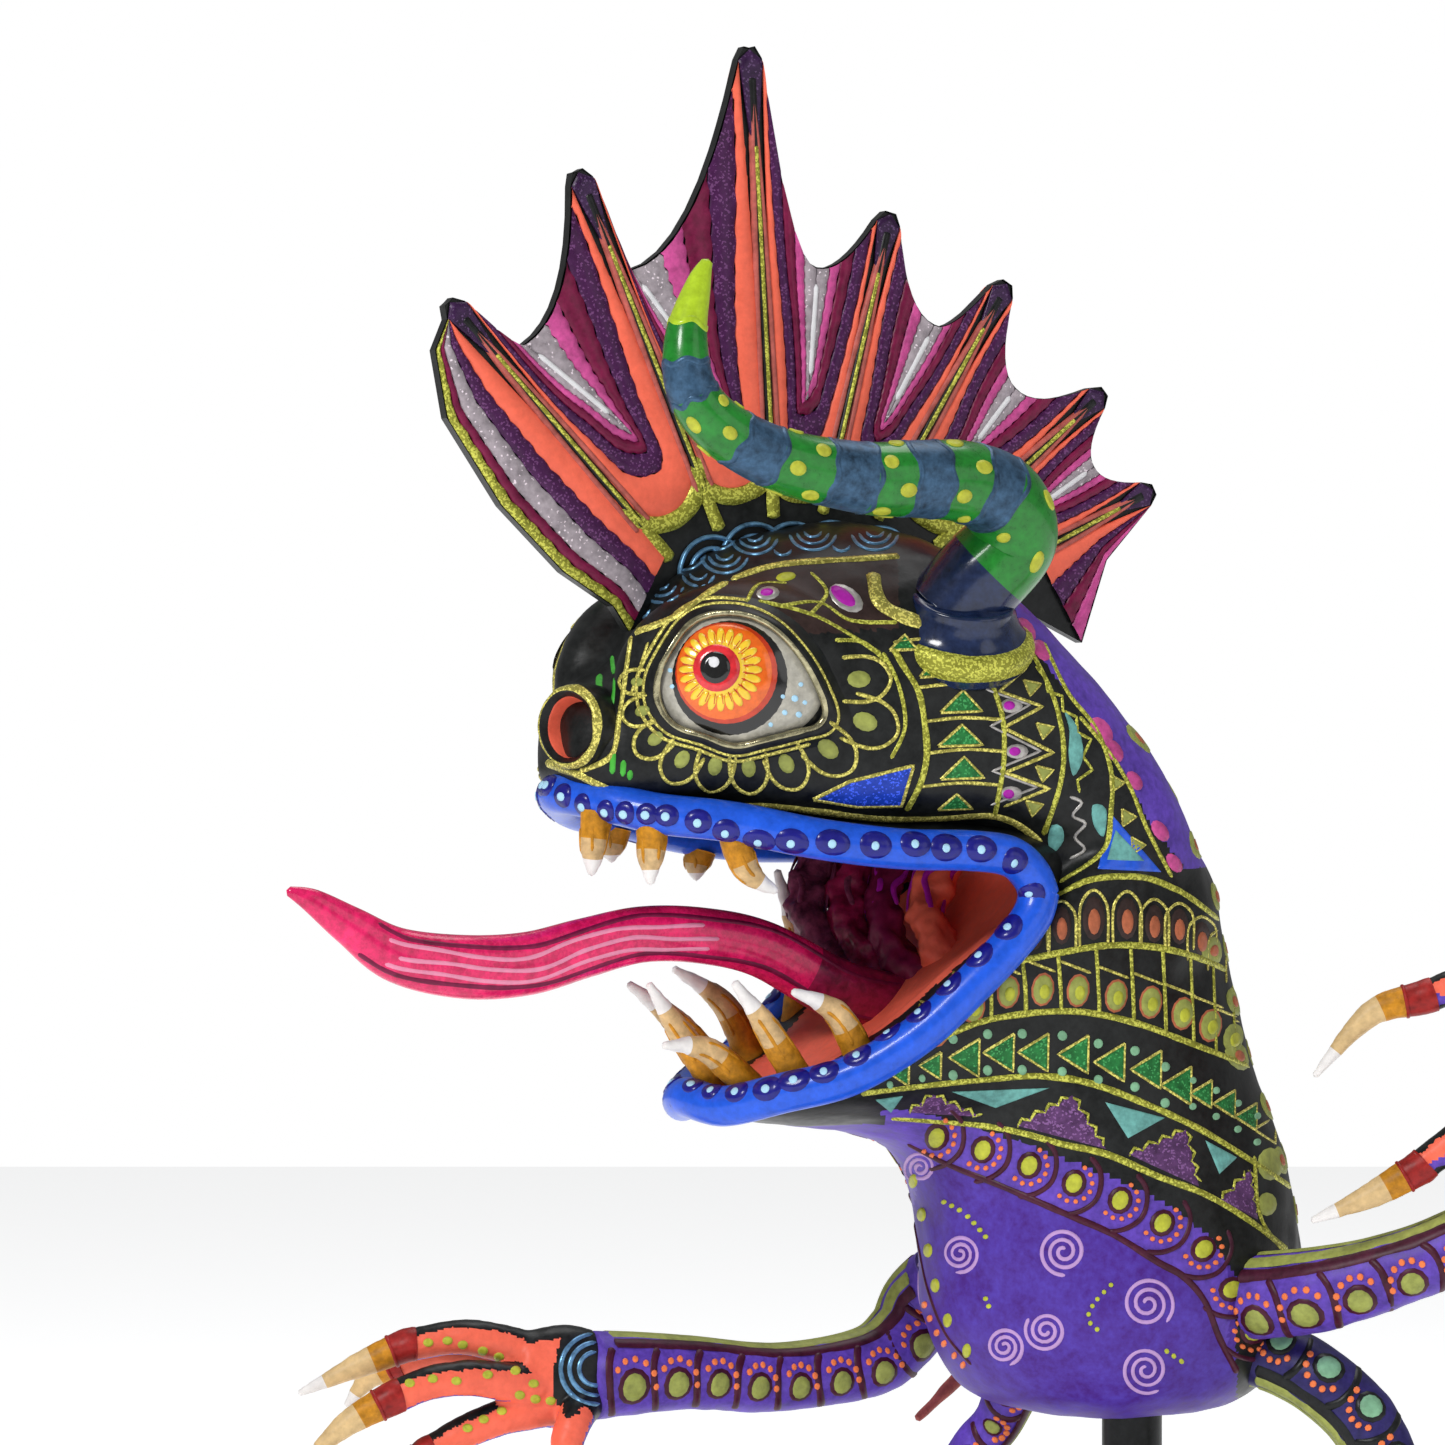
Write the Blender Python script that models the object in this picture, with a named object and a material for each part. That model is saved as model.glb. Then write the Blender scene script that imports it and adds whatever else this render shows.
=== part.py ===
"""Alebrije figure: a painted papier-mache creature that lifts off the post of its stand.

Metres, +Z up. The origin is the middle of the felt under the base. The post stands on the Z axis.
The head is drawn in its own frame: u runs along the head (the snout points to -u), v runs
across it (+v is the creature's right) and z is up. The head is then turned about the vertical line
at u = TURN_X, so that the snout comes round towards -Y. Lengths in the tables are millimetres.
"""
import math

import bmesh
import bpy
from mathutils import Matrix, Vector

MM = 0.001
GAP = 0.3                    # clearance left between pieces that touch

# Stand
BASE_RADIUS = 90.0
BASE_TOP = 26.0
FELT_THICKNESS = 2.0
POST_RADIUS = 7.5
POST_TOP = 235.0
SOCKET_FLOOR = 12.0          # the post stands this high above the floor inside the base
SCREW_RADIUS = 1.6
SCREW_HEAD_RADIUS = 4.5

# Sleeve that the post slides into
SLEEVE_BORE = 8.0
SLEEVE_RADIUS = 9.5
BELLY_BOTTOM = 161.5

# Papier-mache shell
WALL = 4.0
BODY_SIDES = 28
BODY_TURN = 50.0             # degrees from -X towards -Y that the belly faces
HEAD_TURN = 25.0             # the same for the head
TURN_X = -10.0

# Sections of the body from the belly up: x, y, z of the middle, tilt, turn, half depth, half width
BODY_SECTIONS = [
    (-6.0, -3.0, 161.5, 0.0, 50.0, 22.0, 22.0),
    (-6.0, -3.0, 165.0, 0.0, 50.0, 33.0, 33.0),
    (-6.0, -3.0, 173.0, 0.0, 50.0, 42.0, 41.0),
    (-6.0, -3.0, 186.0, 0.0, 50.0, 47.5, 46.5),
    (-6.0, -3.0, 202.0, 2.0, 46.0, 48.5, 47.0),
    (-9.0, -3.5, 220.0, 8.0, 40.0, 47.5, 46.0),
    (-16.0, -5.0, 238.0, 16.0, 32.0, 47.0, 45.0),
    (-27.0, -7.9, 257.0, 27.0, 25.0, 50.0, 44.0),
]

# Sections of the head from the neck to the snout: u, z of the middle, tilt, half depth, half width
HEAD_SECTIONS = [
    (-29.1, 257.6, 27.0, 50.0, 44.0),
    (-20.0, 280.0, 30.0, 32.0, 43.0),
    (-26.6, 303.0, 36.0, 27.0, 42.5),
    (-41.0, 324.0, 42.0, 29.0, 43.0),
    (-59.6, 333.0, 52.0, 33.0, 43.0),
    (-81.7, 338.0, 66.0, 31.0, 41.0),
    (-107.0, 338.0, 80.0, 28.5, 37.0),
    (-128.6, 333.2, 90.0, 19.8, 29.0),
    (-143.5, 330.0, 92.0, 12.2, 21.0),
    (-152.3, 328.0, 95.0, 8.0, 14.0),
]
CORE_SECTIONS = 7            # the wadded core reaches this many sections into the head
CORE_SLACK = 1.0             # extra room where the head's sections change fast

# Rolled lips, from the front to the corner of the mouth: u, half width, z
LIP_RADIUS = 4.0
UPPER_LIP = [(-153, 0, 315), (-148, 12, 313.5), (-139, 22, 310.5), (-124, 31, 309), (-105, 39, 304.5),
             (-85, 43, 302), (-65, 45, 301.5), (-46, 45, 295)]
LOWER_LIP = [(-122, 0, 241), (-118, 12, 238.5), (-108, 24, 242.5), (-94, 33, 247), (-78, 40, 259),
             (-62, 44, 274), (-46, 46, 286)]

# Scoop of the lower jaw: u, half width, height of the rim, height of the underside
JAW_SECTIONS = [(-78, 34, 256, 236), (-90, 28.5, 248.5, 235), (-103, 20, 245.5, 235.5),
                (-112, 9.5, 244.5, 238)]
JAW_WALL = 4.0

# Tongue in the middle plane of the head: u, z, half height
TONGUE = [(-58, 262, 7), (-70, 264, 7.5), (-82, 267.5, 7.5), (-101, 277, 7), (-117, 280.5, 6.8),
          (-133, 281, 6.8), (-148, 278, 7.2), (-163, 274.5, 7.6), (-179, 274, 7.6), (-196, 277, 6.6),
          (-208, 284, 4.8), (-217.5, 290, 3), (-223.5, 292.5, 1.2)]

# Card crest: the outline from the front of the root, over the spikes, to the back of the root
CREST_THICKNESS = 3.5
CREST_FRONT = [(-137, 354), (-141, 360), (-154, 368), (-170, 383.5), (-184, 404), (-187, 420)]
CREST_SPIKES = [(-183, 431), (-150, 463), (-105, 494.5), (-67, 456), (-35, 440), (-8, 414), (6, 390)]
CREST_VALLEYS = [(-164, 422), (-136.5, 440.5), (-87, 442.5), (-55, 429.5), (-32.5, 414.5), (-10.5, 395.5)]
CREST_ROOT = [(-7, 372.5), (-14, 352), (-37, 363), (-69, 369.5), (-102, 368.5), (-123, 359)]
SPIKE_HALF_TIP = 3.5
CREST_CENTRE = (-96.0, 340.0)    # the ribs run towards this point

# Horns: u, half width, z, radius
HORN = [(-66, 33.5, 360.5, 12), (-61, 38, 367, 11), (-55, 43, 376, 10), (-60, 47.5, 385, 10),
        (-71, 50, 389, 9.5), (-85, 52, 389.5, 8.8), (-100, 53, 389.5, 8), (-121, 54, 393, 7.2),
        (-137, 55, 400, 6.4), (-145, 55, 409, 5.8), (-146, 54, 421, 5), (-142, 52, 433.5, 3)]

# Eyes: the middle of the opening, the way it faces, and the ball's half sizes
EYE_PLACE = (-117.0, 36.0, 343.5)
EYE_FORWARD = 22.0
EYE_HALF_SIZES = (19.0, 16.0, 11.0)
EYE_SINK = 2.0
LID_HALF_SIZES = (22.5, 19.3)
LID_RADIUS = 2.6
NOSTRIL_PLACE = (-158.0, 11.0, 334.5)
NOSTRIL_AIM = (-0.72, 0.62, 0.3)
NOSTRIL_RADIUS = 7.5
NOSTRIL_DEPTH = 9.0
NOSTRIL_PROFILE = [(0, 0.75), (0.5, 1.0), (1.0, 1.05), (1.0, 0.7), (0.45, 0.5)]    # shares of depth, radius

# Teeth: base, middle and tip as u, v, z; base radius
UPPER_TEETH = [
    [(-150, -12, 308.3), (-151, -12, 302), (-151, -11, 296)],
    [(-140, -22, 305.3), (-141, -23, 300), (-141, -23, 294)],
    [(-122, -31, 302.6), (-120, -32, 297), (-113, -33, 292)],
    [(-127, 29, 304.3), (-128, 29, 301), (-128, 29, 298)],
    [(-99, 40, 298.3), (-100, 40, 296), (-100, 40, 293)],
]
LOWER_TEETH = [
    [(-113, -1, 248.5), (-123, -1, 257), (-132, -2, 269)],
    [(-109, -10.5, 248.8), (-121, -12, 253.5), (-133, -13, 255)],
    [(-100, -20, 249.5), (-110, -22, 259), (-119, -23, 270)],
    [(-86, -27, 253), (-94, -28, 262), (-106, -28, 268)],
    [(-78, 30, 258), (-76, 31, 274), (-82, 31, 295)],
    [(-92, 23, 250.5), (-99, 25, 262), (-113, 25, 271.5)],
    [(-105, 13, 249.5), (-118, 12.5, 259), (-131, 12, 268.5)],
]
TOOTH_SIZES = (3.6, 2.7, 1.2)    # radius at the base, middle and tip

# Limbs: x, y, z, radius along the bent wire inside
LIMB_BORE = 2.2
WIRE_RADIUS = 1.6
ARM_RIGHT = [(-45.2, 30, 190, 10.5), (-51.5, 34, 184, 10), (-56, 32, 176, 9.5), (-66, 27, 169.5, 8.8),
             (-88, 16, 167, 8.5), (-110, 4, 169.5, 9), (-122, -2, 170, 10), (-131.5, -6, 170, 11)]
ARM_LEFT = [(31.6, -34.4, 192.5, 10.5), (44, -42.5, 195, 10), (57, -48, 199, 9), (72, -52, 205, 8.5),
            (92, -54, 216, 8.5), (105, -55, 231, 9), (108, -55, 242, 10)]
LEG_RIGHT = [(-30, 18.5, 161.5, 6.5), (-33, 20.5, 155, 6), (-40, 22, 146, 5.8), (-46, 22, 130, 6.5),
             (-46, 20, 112, 6.5), (-42, 17, 80, 5.8), (-40, 14, 52, 5.5), (-40, 11, 39.4, 6)]
LEG_LEFT = [(36.2, -23.8, 175.4, 8.5), (45, -28, 170.5, 8.5), (54, -31, 162, 8.5), (60, -33, 150, 8.3),
            (65, -34, 132, 8.5), (64, -33, 112, 8), (58, -31, 80, 6.8), (53, -30, 52, 6),
            (52, -31, 39, 6.5)]
TAIL = [(24.6, 33.6, 181, 7.5), (33, 44, 178, 7), (36, 56, 178, 6.3), (24, 67, 182, 5.6),
        (4, 68, 184, 4.8), (-16, 60, 180, 3.8), (-34, 51, 169.5, 2.6), (-52, 44, 153.5, 0.9)]

# Hands: palm, then the fingers; a claw sits on the end of each finger
PALM_RIGHT = [(-134, -6.9, 170, 11.5), (-142, -9.5, 170, 13), (-152, -12, 170.5, 11)]
FINGERS_RIGHT = [
    [(-148, -11, 176, 5), (-162, -14, 180, 4.6), (-171, -15, 180, 4.2), (-179, -16, 178.5, 4)],
    [(-148, -8, 172, 5), (-160, -5, 175, 4.6), (-173, -3.5, 176, 4.2), (-183, -2, 172.5, 3.8)],
    [(-148, -15, 168, 5), (-162, -22, 171, 4.6), (-173, -26, 170.5, 4.2), (-182, -28, 167, 4)],
    [(-144, -12, 163, 5), (-155, -15, 161, 4.6), (-165, -18, 157.5, 4.2), (-174, -20, 152.5, 4)],
    [(-136, -12, 164, 5), (-138, -18, 161, 4.6), (-140, -21.5, 156, 4.2), (-140.5, -22.5, 151, 4)],
]
CLAWS_RIGHT = [
    [(-192, -17.5, 173.5), (-206, -19, 167)],
    [(-190, -1.5, 169), (-195.5, -1.5, 162)],
    [(-194, -30, 160.5), (-205, -32, 150.5)],
    [(-182, -21.5, 146), (-187, -22.5, 138)],
    [(-141.5, -23, 145), (-141, -23, 138)],
]
PALM_LEFT = [(109, -55, 247.8, 10), (108, -55.5, 253, 12.5), (103, -56, 260, 10.5)]
FINGERS_LEFT = [
    [(104, -57, 258, 5), (93, -58, 267, 4.6), (80, -58, 270.5, 4.3), (67, -58, 266.5, 4)],
    [(104, -58, 255, 5), (92, -60, 248, 4.6), (78, -61, 236, 4.3), (65, -61, 226, 4)],
    [(105, -52, 262, 5), (104, -47, 274, 4.6), (99, -45, 283, 4.3), (92, -44, 288, 4)],
    [(107, -50, 256, 5), (109, -41, 265, 4.6), (106, -34, 274, 4.3), (100, -31, 278, 4)],
    [(106, -51, 254, 5), (107, -43, 251, 4.6), (104, -35.5, 244, 4.3), (98, -31, 237, 4)],
]
CLAWS_LEFT = [
    [(53, -58, 262), (40, -58, 247.5)],
    [(53, -61, 219), (39, -61, 213)],
    [(86.5, -43.2, 291), (80, -42.5, 290)],
    [(93.5, -28, 282), (87, -26, 283)],
    [(91.5, -27, 230.5), (86, -26, 223)],
]
CLAW_TIP = 1.0

# Feet: the ankle, and where the toes point
FOOT_RIGHT = (-40.0, 11.0)
FOOT_LEFT = (52.0, -31.0)
FOOT_AIM = 50.0
TOE_SPREAD = 24.0
TOE_LENGTH = 27.0
HEEL = [(11.2, 5.8), (6.7, 6.2), (2.0, 6.6)]      # height above the sole, radius
TOE = [(0.06, 5.5, 5.0), (0.5, 5.2, 4.6), (0.85, 3.6, 3.2), (1.0, 1.4, 1.0)]     # reach, height, radius
TOE_STAGGER = (0.03, 0.2)    # each toe's root starts a little farther out and higher than the last

COLOURS = {
    "wood": ((0.30, 0.17, 0.09), 0.5, 0.0),
    "felt": ((0.03, 0.05, 0.03), 0.95, 0.0),
    "steel": ((0.5, 0.5, 0.5), 0.35, 1.0),
    "raw paper": ((0.62, 0.53, 0.40), 0.85, 0.0),
    "post paint": ((0.02, 0.025, 0.02), 0.4, 0.0),
    "belly violet": ((0.14, 0.04, 0.33), 0.4, 0.0),
    "head black": ((0.04, 0.05, 0.03), 0.35, 0.0),
    "mouth coral": ((0.85, 0.16, 0.08), 0.4, 0.0),
    "lip blue": ((0.03, 0.14, 0.72), 0.35, 0.0),
    "tongue pink": ((0.75, 0.02, 0.15), 0.3, 0.0),
    "crest wine": ((0.28, 0.02, 0.12), 0.4, 0.2),
    "horn green": ((0.01, 0.25, 0.03), 0.3, 0.0),
    "eye orange": ((0.85, 0.20, 0.02), 0.15, 0.0),
    "lid gold": ((0.25, 0.20, 0.04), 0.3, 0.5),
    "tooth cream": ((0.68, 0.50, 0.28), 0.45, 0.0),
    "claw cream": ((0.70, 0.55, 0.32), 0.4, 0.0),
    "limb violet": ((0.16, 0.06, 0.30), 0.4, 0.0),
}


def clear_scene():
    """Remove whatever the file opened with."""
    for thing in list(bpy.data.objects):
        bpy.data.objects.remove(thing, do_unlink=True)


def material(name):
    """One Principled material for each sub-part, in the named paint."""
    colour, roughness, metallic = COLOURS[name]
    made = bpy.data.materials.new(name)
    made.use_nodes = True
    shader = made.node_tree.nodes["Principled BSDF"]
    shader.inputs["Base Color"].default_value = (*colour, 1.0)
    shader.inputs["Roughness"].default_value = roughness
    shader.inputs["Metallic"].default_value = metallic
    return made


def add_object(name, mesh, paint):
    """Link a mesh as a named, painted object with its faces pointing out."""
    shell = bmesh.new()
    shell.from_mesh(mesh)
    bmesh.ops.recalc_face_normals(shell, faces=shell.faces)
    shell.to_mesh(mesh)
    shell.free()
    mesh.shade_smooth()
    mesh.set_sharp_from_angle(angle=math.radians(40))
    mesh.materials.append(material(paint))
    thing = bpy.data.objects.new(name, mesh)
    bpy.context.scene.collection.objects.link(thing)
    return thing


def loft(name, rings, paint, closed=False):
    """A closed solid through rings of points: capped at both ends, or joined end to end."""
    count = len(rings[0])
    points = [point * MM for ring in rings for point in ring]
    faces = []
    last = len(rings) if closed else len(rings) - 1
    for row in range(last):
        here = row * count
        there = ((row + 1) % len(rings)) * count
        for side in range(count):
            after = (side + 1) % count
            faces.append((here + side, here + after, there + after, there + side))
    if not closed:
        faces.append(tuple(range(count)))
        faces.append(tuple(range((len(rings) - 1) * count, len(rings) * count)))
    mesh = bpy.data.meshes.new(name)
    mesh.from_pydata(points, [], faces)
    return add_object(name, mesh, paint)


def ellipse(middle, axis_a, axis_b, half_a, half_b, count):
    """Points round an ellipse in the plane of two unit axes."""
    ring = []
    for step in range(count):
        angle = math.tau * step / count
        ring.append(middle + axis_a * (half_a * math.cos(angle)) + axis_b * (half_b * math.sin(angle)))
    return ring


def section(middle, tilt, turn, half_depth, half_width, count=BODY_SIDES):
    """A ring across the body: tilted down at the front, turned from -X towards -Y."""
    lean = math.radians(tilt)
    front = Vector((-math.cos(lean), 0, -math.sin(lean)))
    spin = Matrix.Rotation(math.radians(turn), 3, "Z")
    return ellipse(middle, spin @ front, spin @ Vector((0, 1, 0)), half_depth, half_width, count)


def head_point(u, v, z):
    """A point of the head's own frame, in the object's frame."""
    spin = Matrix.Rotation(math.radians(HEAD_TURN), 3, "Z")
    return Vector((TURN_X, 0, 0)) + spin @ Vector((u - TURN_X, v, z))


def head_direction(u, v, z):
    """A unit direction of the head's own frame, in the object's frame."""
    return (Matrix.Rotation(math.radians(HEAD_TURN), 3, "Z") @ Vector((u, v, z))).normalized()


def head_rings(inset, rows=None):
    """The head's sections, shrunk by an inset."""
    rings = []
    for u, z, tilt, half_depth, half_width in HEAD_SECTIONS[:rows]:
        middle = head_point(u, 0, z)
        rings.append(section(middle, tilt, HEAD_TURN, half_depth - inset, half_width - inset))
    return rings


def smooth_path(stations, per_span):
    """A Catmull-Rom curve through stations of position and radius."""
    path = []
    for index in range(len(stations) - 1):
        before = Vector(stations[max(index - 1, 0)])
        start = Vector(stations[index])
        end = Vector(stations[index + 1])
        after = Vector(stations[min(index + 2, len(stations) - 1)])
        for step in range(per_span):
            t = step / per_span
            curve = 2 * start + (end - before) * t
            curve += (2 * before - 5 * start + 4 * end - after) * t * t
            curve += (3 * start - before - 3 * end + after) * t ** 3
            path.append(curve * 0.5)
    path.append(Vector(stations[-1]))
    return path


def tube_rings(path, sides, radius=None, flatten=1.0, up=Vector((0, 0, 1))):
    """Rings square to a path; flatten narrows them across the up direction."""
    rings = []
    places = [Vector(point[:3]) for point in path]
    side_axis = None
    for index, place in enumerate(places):
        ahead = places[min(index + 1, len(places) - 1)]
        behind = places[max(index - 1, 0)]
        along = (ahead - behind).normalized()
        if side_axis is None:
            steep = abs(along.dot(up)) > 0.9
            side_axis = along.cross(Vector((1, 0, 0)) if steep else up).normalized()
        side_axis = (side_axis - along * side_axis.dot(along)).normalized()
        rise = side_axis.cross(along)
        size = path[index][3] if radius is None else radius
        rings.append(ellipse(place, side_axis, rise, size * flatten, size, sides))
    return rings


def tube(name, stations, paint, sides=8, per_span=1, flatten=1.0):
    """A solid tube that tapers along a smooth path."""
    path = smooth_path(stations, per_span)
    return loft(name, tube_rings(path, sides, flatten=flatten), paint)


def pipe_and_wire(name, stations, paint, sides=9):
    """A limb: a papier-mache tube, and the bent wire in its bore."""
    path = smooth_path(stations, 1)
    outer = tube_rings(path, sides)
    inner = tube_rings(path, sides, radius=LIMB_BORE)
    loft(name, outer + inner[::-1], paint, closed=True)
    loft(name + "_wire", tube_rings(path, 5, radius=WIRE_RADIUS), "steel")


def turned(name, profile, paint, segments=32, closed=False):
    """A solid of revolution about the Z axis, from a profile of radius and height."""
    rings = []
    for radius, height in profile:
        middle = Vector((0, 0, height))
        rings.append(ellipse(middle, Vector((1, 0, 0)), Vector((0, 1, 0)), radius, radius, segments))
    return loft(name, rings, paint, closed)


def cutter(name, rings):
    """A solid that only cuts: hidden from the model."""
    tool = loft(name, rings, "raw paper")
    tool.hide_render = True
    tool.display_type = "WIRE"
    return tool


def boolean(target, tool, operation):
    """Add an exact Boolean to a target."""
    change = target.modifiers.new(tool.name, "BOOLEAN")
    change.operation = operation
    change.solver = "EXACT"
    change.object = tool


def make_stand():
    """Base, felt, post and the screw that holds them."""
    felt = [(BASE_RADIUS - 2, 0), (BASE_RADIUS - 2, FELT_THICKNESS)]
    turned("base_felt", felt, "felt")
    floor = FELT_THICKNESS + GAP
    head_room = SCREW_HEAD_RADIUS + 1
    socket = POST_RADIUS + GAP
    base = [(head_room, floor), (BASE_RADIUS - 1, floor), (BASE_RADIUS, floor + 1),
            (BASE_RADIUS, 12), (BASE_RADIUS - 2, 15), (BASE_RADIUS - 6, 17), (BASE_RADIUS - 8, 21),
            (BASE_RADIUS - 13, 24.5), (BASE_RADIUS - 20, BASE_TOP), (socket, BASE_TOP),
            (socket, SOCKET_FLOOR), (SCREW_RADIUS + GAP, SOCKET_FLOOR), (SCREW_RADIUS + GAP, 7),
            (head_room, 7)]
    turned("base_disc", base, "wood", segments=40, closed=True)
    foot = SOCKET_FLOOR + GAP
    bore = SCREW_RADIUS + GAP
    post = [(bore, 34), (bore, foot), (POST_RADIUS, foot), (POST_RADIUS, POST_TOP - 1),
            (POST_RADIUS - 1, POST_TOP)]
    turned("support_post", post, "post paint", segments=20)
    screw = [(SCREW_HEAD_RADIUS, 3.5), (SCREW_HEAD_RADIUS, 6.5), (SCREW_RADIUS, 6.7), (SCREW_RADIUS, 30),
             (0.4, 33)]
    turned("post_screw", screw, "steel", segments=14)


def make_core():
    """Sleeve, its plug and the wadded cores that fill the shell."""
    sleeve = [(SLEEVE_BORE, BELLY_BOTTOM), (SLEEVE_RADIUS, BELLY_BOTTOM),
              (SLEEVE_RADIUS, POST_TOP + GAP), (SLEEVE_BORE, POST_TOP + GAP)]
    turned("post_sleeve", sleeve, "raw paper", segments=20, closed=True)
    plug = [(SLEEVE_RADIUS, POST_TOP + 2 * GAP), (SLEEVE_RADIUS, POST_TOP + 6)]
    turned("sleeve_plug", plug, "raw paper", segments=20)
    inset = WALL + GAP + 0.1
    rings = []
    for x, y, z, tilt, turn, half_depth, half_width in BODY_SECTIONS[1:]:
        middle = Vector((x, y, max(z, BELLY_BOTTOM + WALL + 1.5)))
        rings.append(section(middle, tilt, turn, half_depth - inset, half_width - inset))
    belly = loft("belly_core", rings, "raw paper")
    hole = [(SLEEVE_RADIUS + GAP, BELLY_BOTTOM), (SLEEVE_RADIUS + GAP, POST_TOP + 6 + GAP)]
    bore = turned("sleeve_bore", hole, "raw paper", segments=20)
    bore.hide_render = True
    bore.display_type = "WIRE"
    boolean(belly, bore, "DIFFERENCE")
    return loft("head_core", head_rings(inset + CORE_SLACK, CORE_SECTIONS), "raw paper")


def make_body():
    """The belly and neck: one hollow shell, open to the head and holed for the post."""
    hole = SLEEVE_RADIUS + GAP + 0.1
    rings = [section(Vector((0, 0, BELLY_BOTTOM)), 0, BODY_TURN, hole, hole)]
    inner = []
    for x, y, z, tilt, turn, half_depth, half_width in BODY_SECTIONS:
        middle = Vector((x, y, z))
        rings.append(section(middle, tilt, turn, half_depth, half_width))
        if z > BELLY_BOTTOM:
            middle.z = max(z, BELLY_BOTTOM + WALL + 1)
            inner.append(section(middle, tilt, turn, half_depth - WALL, half_width - WALL))
    top_of_hole = Vector((0, 0, BELLY_BOTTOM + WALL))
    rings += inner[::-1]
    rings.append(section(top_of_hole, 0, BODY_TURN, hole, hole))
    loft("torso_shell", rings, "belly violet", closed=True)


def make_head(core):
    """The skull and snout: a hollow shell with sockets for the eyes."""
    outer = head_rings(0)
    inner = head_rings(WALL)[:CORE_SECTIONS + 1]
    shell = loft("head_shell", inner[::-1] + outer, "head black")
    for side, label in ((-1, "left"), (1, "right")):
        socket = eye_rings(side, 0.4)
        tool = cutter("socket_" + label, socket)
        boolean(shell, tool, "DIFFERENCE")
        boolean(core, tool, "DIFFERENCE")


def eye_frame(side):
    """The eye's place and its three axes: along the lids, up, and outwards."""
    aim = math.radians(EYE_FORWARD)
    outward = head_direction(-math.sin(aim), side * math.cos(aim), 0)
    u, half_width, z = EYE_PLACE
    up = Vector((0, 0, 1))
    return head_point(u, side * half_width, z), up.cross(outward).normalized(), up, outward


def eye_rings(side, grow):
    """An eyeball, flattened along the way that it faces."""
    place, along, up, outward = eye_frame(side)
    long_half, high_half, deep_half = (size + grow for size in EYE_HALF_SIZES)
    rings = []
    steps = 8
    for step in range(steps + 1):
        angle = math.pi * (0.04 + 0.92 * step / steps) - math.pi / 2
        middle = place + outward * (math.sin(angle) * deep_half - EYE_SINK)
        size = math.cos(angle)
        rings.append(ellipse(middle, along, up, long_half * size, high_half * size, 18))
    return rings


def make_eyes():
    """Eyeballs, the rims round them and the flared nostrils."""
    for side, label in ((-1, "left"), (1, "right")):
        loft("eye_" + label, eye_rings(side, 0), "eye orange")
        place, along, up, outward = eye_frame(side)
        rings = []
        steps = 20
        for step in range(steps):
            angle = math.tau * step / steps
            radial = along * math.cos(angle) + up * math.sin(angle)
            middle = place + along * (LID_HALF_SIZES[0] * math.cos(angle))
            middle = middle + up * (LID_HALF_SIZES[1] * math.sin(angle))
            rings.append(ellipse(middle, radial, outward, LID_RADIUS, LID_RADIUS, 6))
        loft("lid_" + label, rings, "lid gold", closed=True)
        u, half_width, z = NOSTRIL_PLACE
        start = head_point(u, side * half_width, z)
        aim = head_direction(NOSTRIL_AIM[0], side * NOSTRIL_AIM[1], NOSTRIL_AIM[2])
        across = aim.cross(Vector((0, 0, 1))).normalized()
        rise = across.cross(aim)
        cup = []
        for depth, width in NOSTRIL_PROFILE:
            middle = start + aim * (depth * NOSTRIL_DEPTH)
            radius = width * NOSTRIL_RADIUS
            cup.append(ellipse(middle, across, rise, radius, radius, 14))
        loft("nostril_" + label, cup, "mouth coral")


def lip(name, half):
    """A rolled lip: the same curve on both sides of the mouth."""
    near = [(*head_point(u, -width, z), LIP_RADIUS) for u, width, z in half]
    far = [(*head_point(u, width, z), LIP_RADIUS) for u, width, z in half[1:]]
    tube(name, near[::-1] + far, "lip blue", per_span=2)


def make_mouth():
    """Lower jaw, lips, tongue and teeth."""
    arcs = 12
    rings = []
    for u, half_width, rim, underside in JAW_SECTIONS:
        ring = []
        for wall, order in ((0.0, range(arcs + 1)), (JAW_WALL, range(arcs, -1, -1))):
            for step in order:
                angle = math.pi * step / arcs
                across = -(half_width - wall) * math.cos(angle)
                drop = (rim - underside - wall) * math.sin(angle)
                ring.append(head_point(u, across, rim - drop))
        rings.append(ring)
    loft("lower_jaw", rings, "mouth coral")
    lip("upper_lip", UPPER_LIP)
    lip("lower_lip", LOWER_LIP)
    tongue = [(*head_point(u, 0, z), half_height) for u, z, half_height in TONGUE]
    tube("tongue", tongue, "tongue pink", sides=10, flatten=0.65)
    for label, teeth in (("upper", UPPER_TEETH), ("lower", LOWER_TEETH)):
        for number, (base, middle, tip) in enumerate(teeth, 1):
            places = (head_point(*base), head_point(*middle), head_point(*tip))
            path = [(*place, radius) for place, radius in zip(places, TOOTH_SIZES)]
            tube(f"tooth_{label}_{number}", path, "tooth cream", sides=7, per_span=2)


def make_crest():
    """The card fan on the middle line of the head."""
    outline = list(CREST_FRONT)
    for index, (u, z) in enumerate(CREST_SPIKES):
        lean = math.atan2(z - CREST_CENTRE[1], u - CREST_CENTRE[0])
        across = (math.sin(lean) * SPIKE_HALF_TIP, -math.cos(lean) * SPIKE_HALF_TIP)
        outline.append((u - across[0], z - across[1]))
        outline.append((u + across[0], z + across[1]))
        if index < len(CREST_VALLEYS):
            outline.append(CREST_VALLEYS[index])
    outline += CREST_ROOT
    rings = []
    for across in (-CREST_THICKNESS / 2, CREST_THICKNESS / 2):
        rings.append([head_point(u, across, z) for u, z in outline])
    loft("crest_panel", rings, "crest wine")


def make_horns():
    """Two curled horns."""
    for side, label in ((-1, "left"), (1, "right")):
        path = [(*head_point(u, side * width, z), radius) for u, width, z, radius in HORN]
        tube("horn_" + label, path, "horn green", sides=12)


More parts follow.
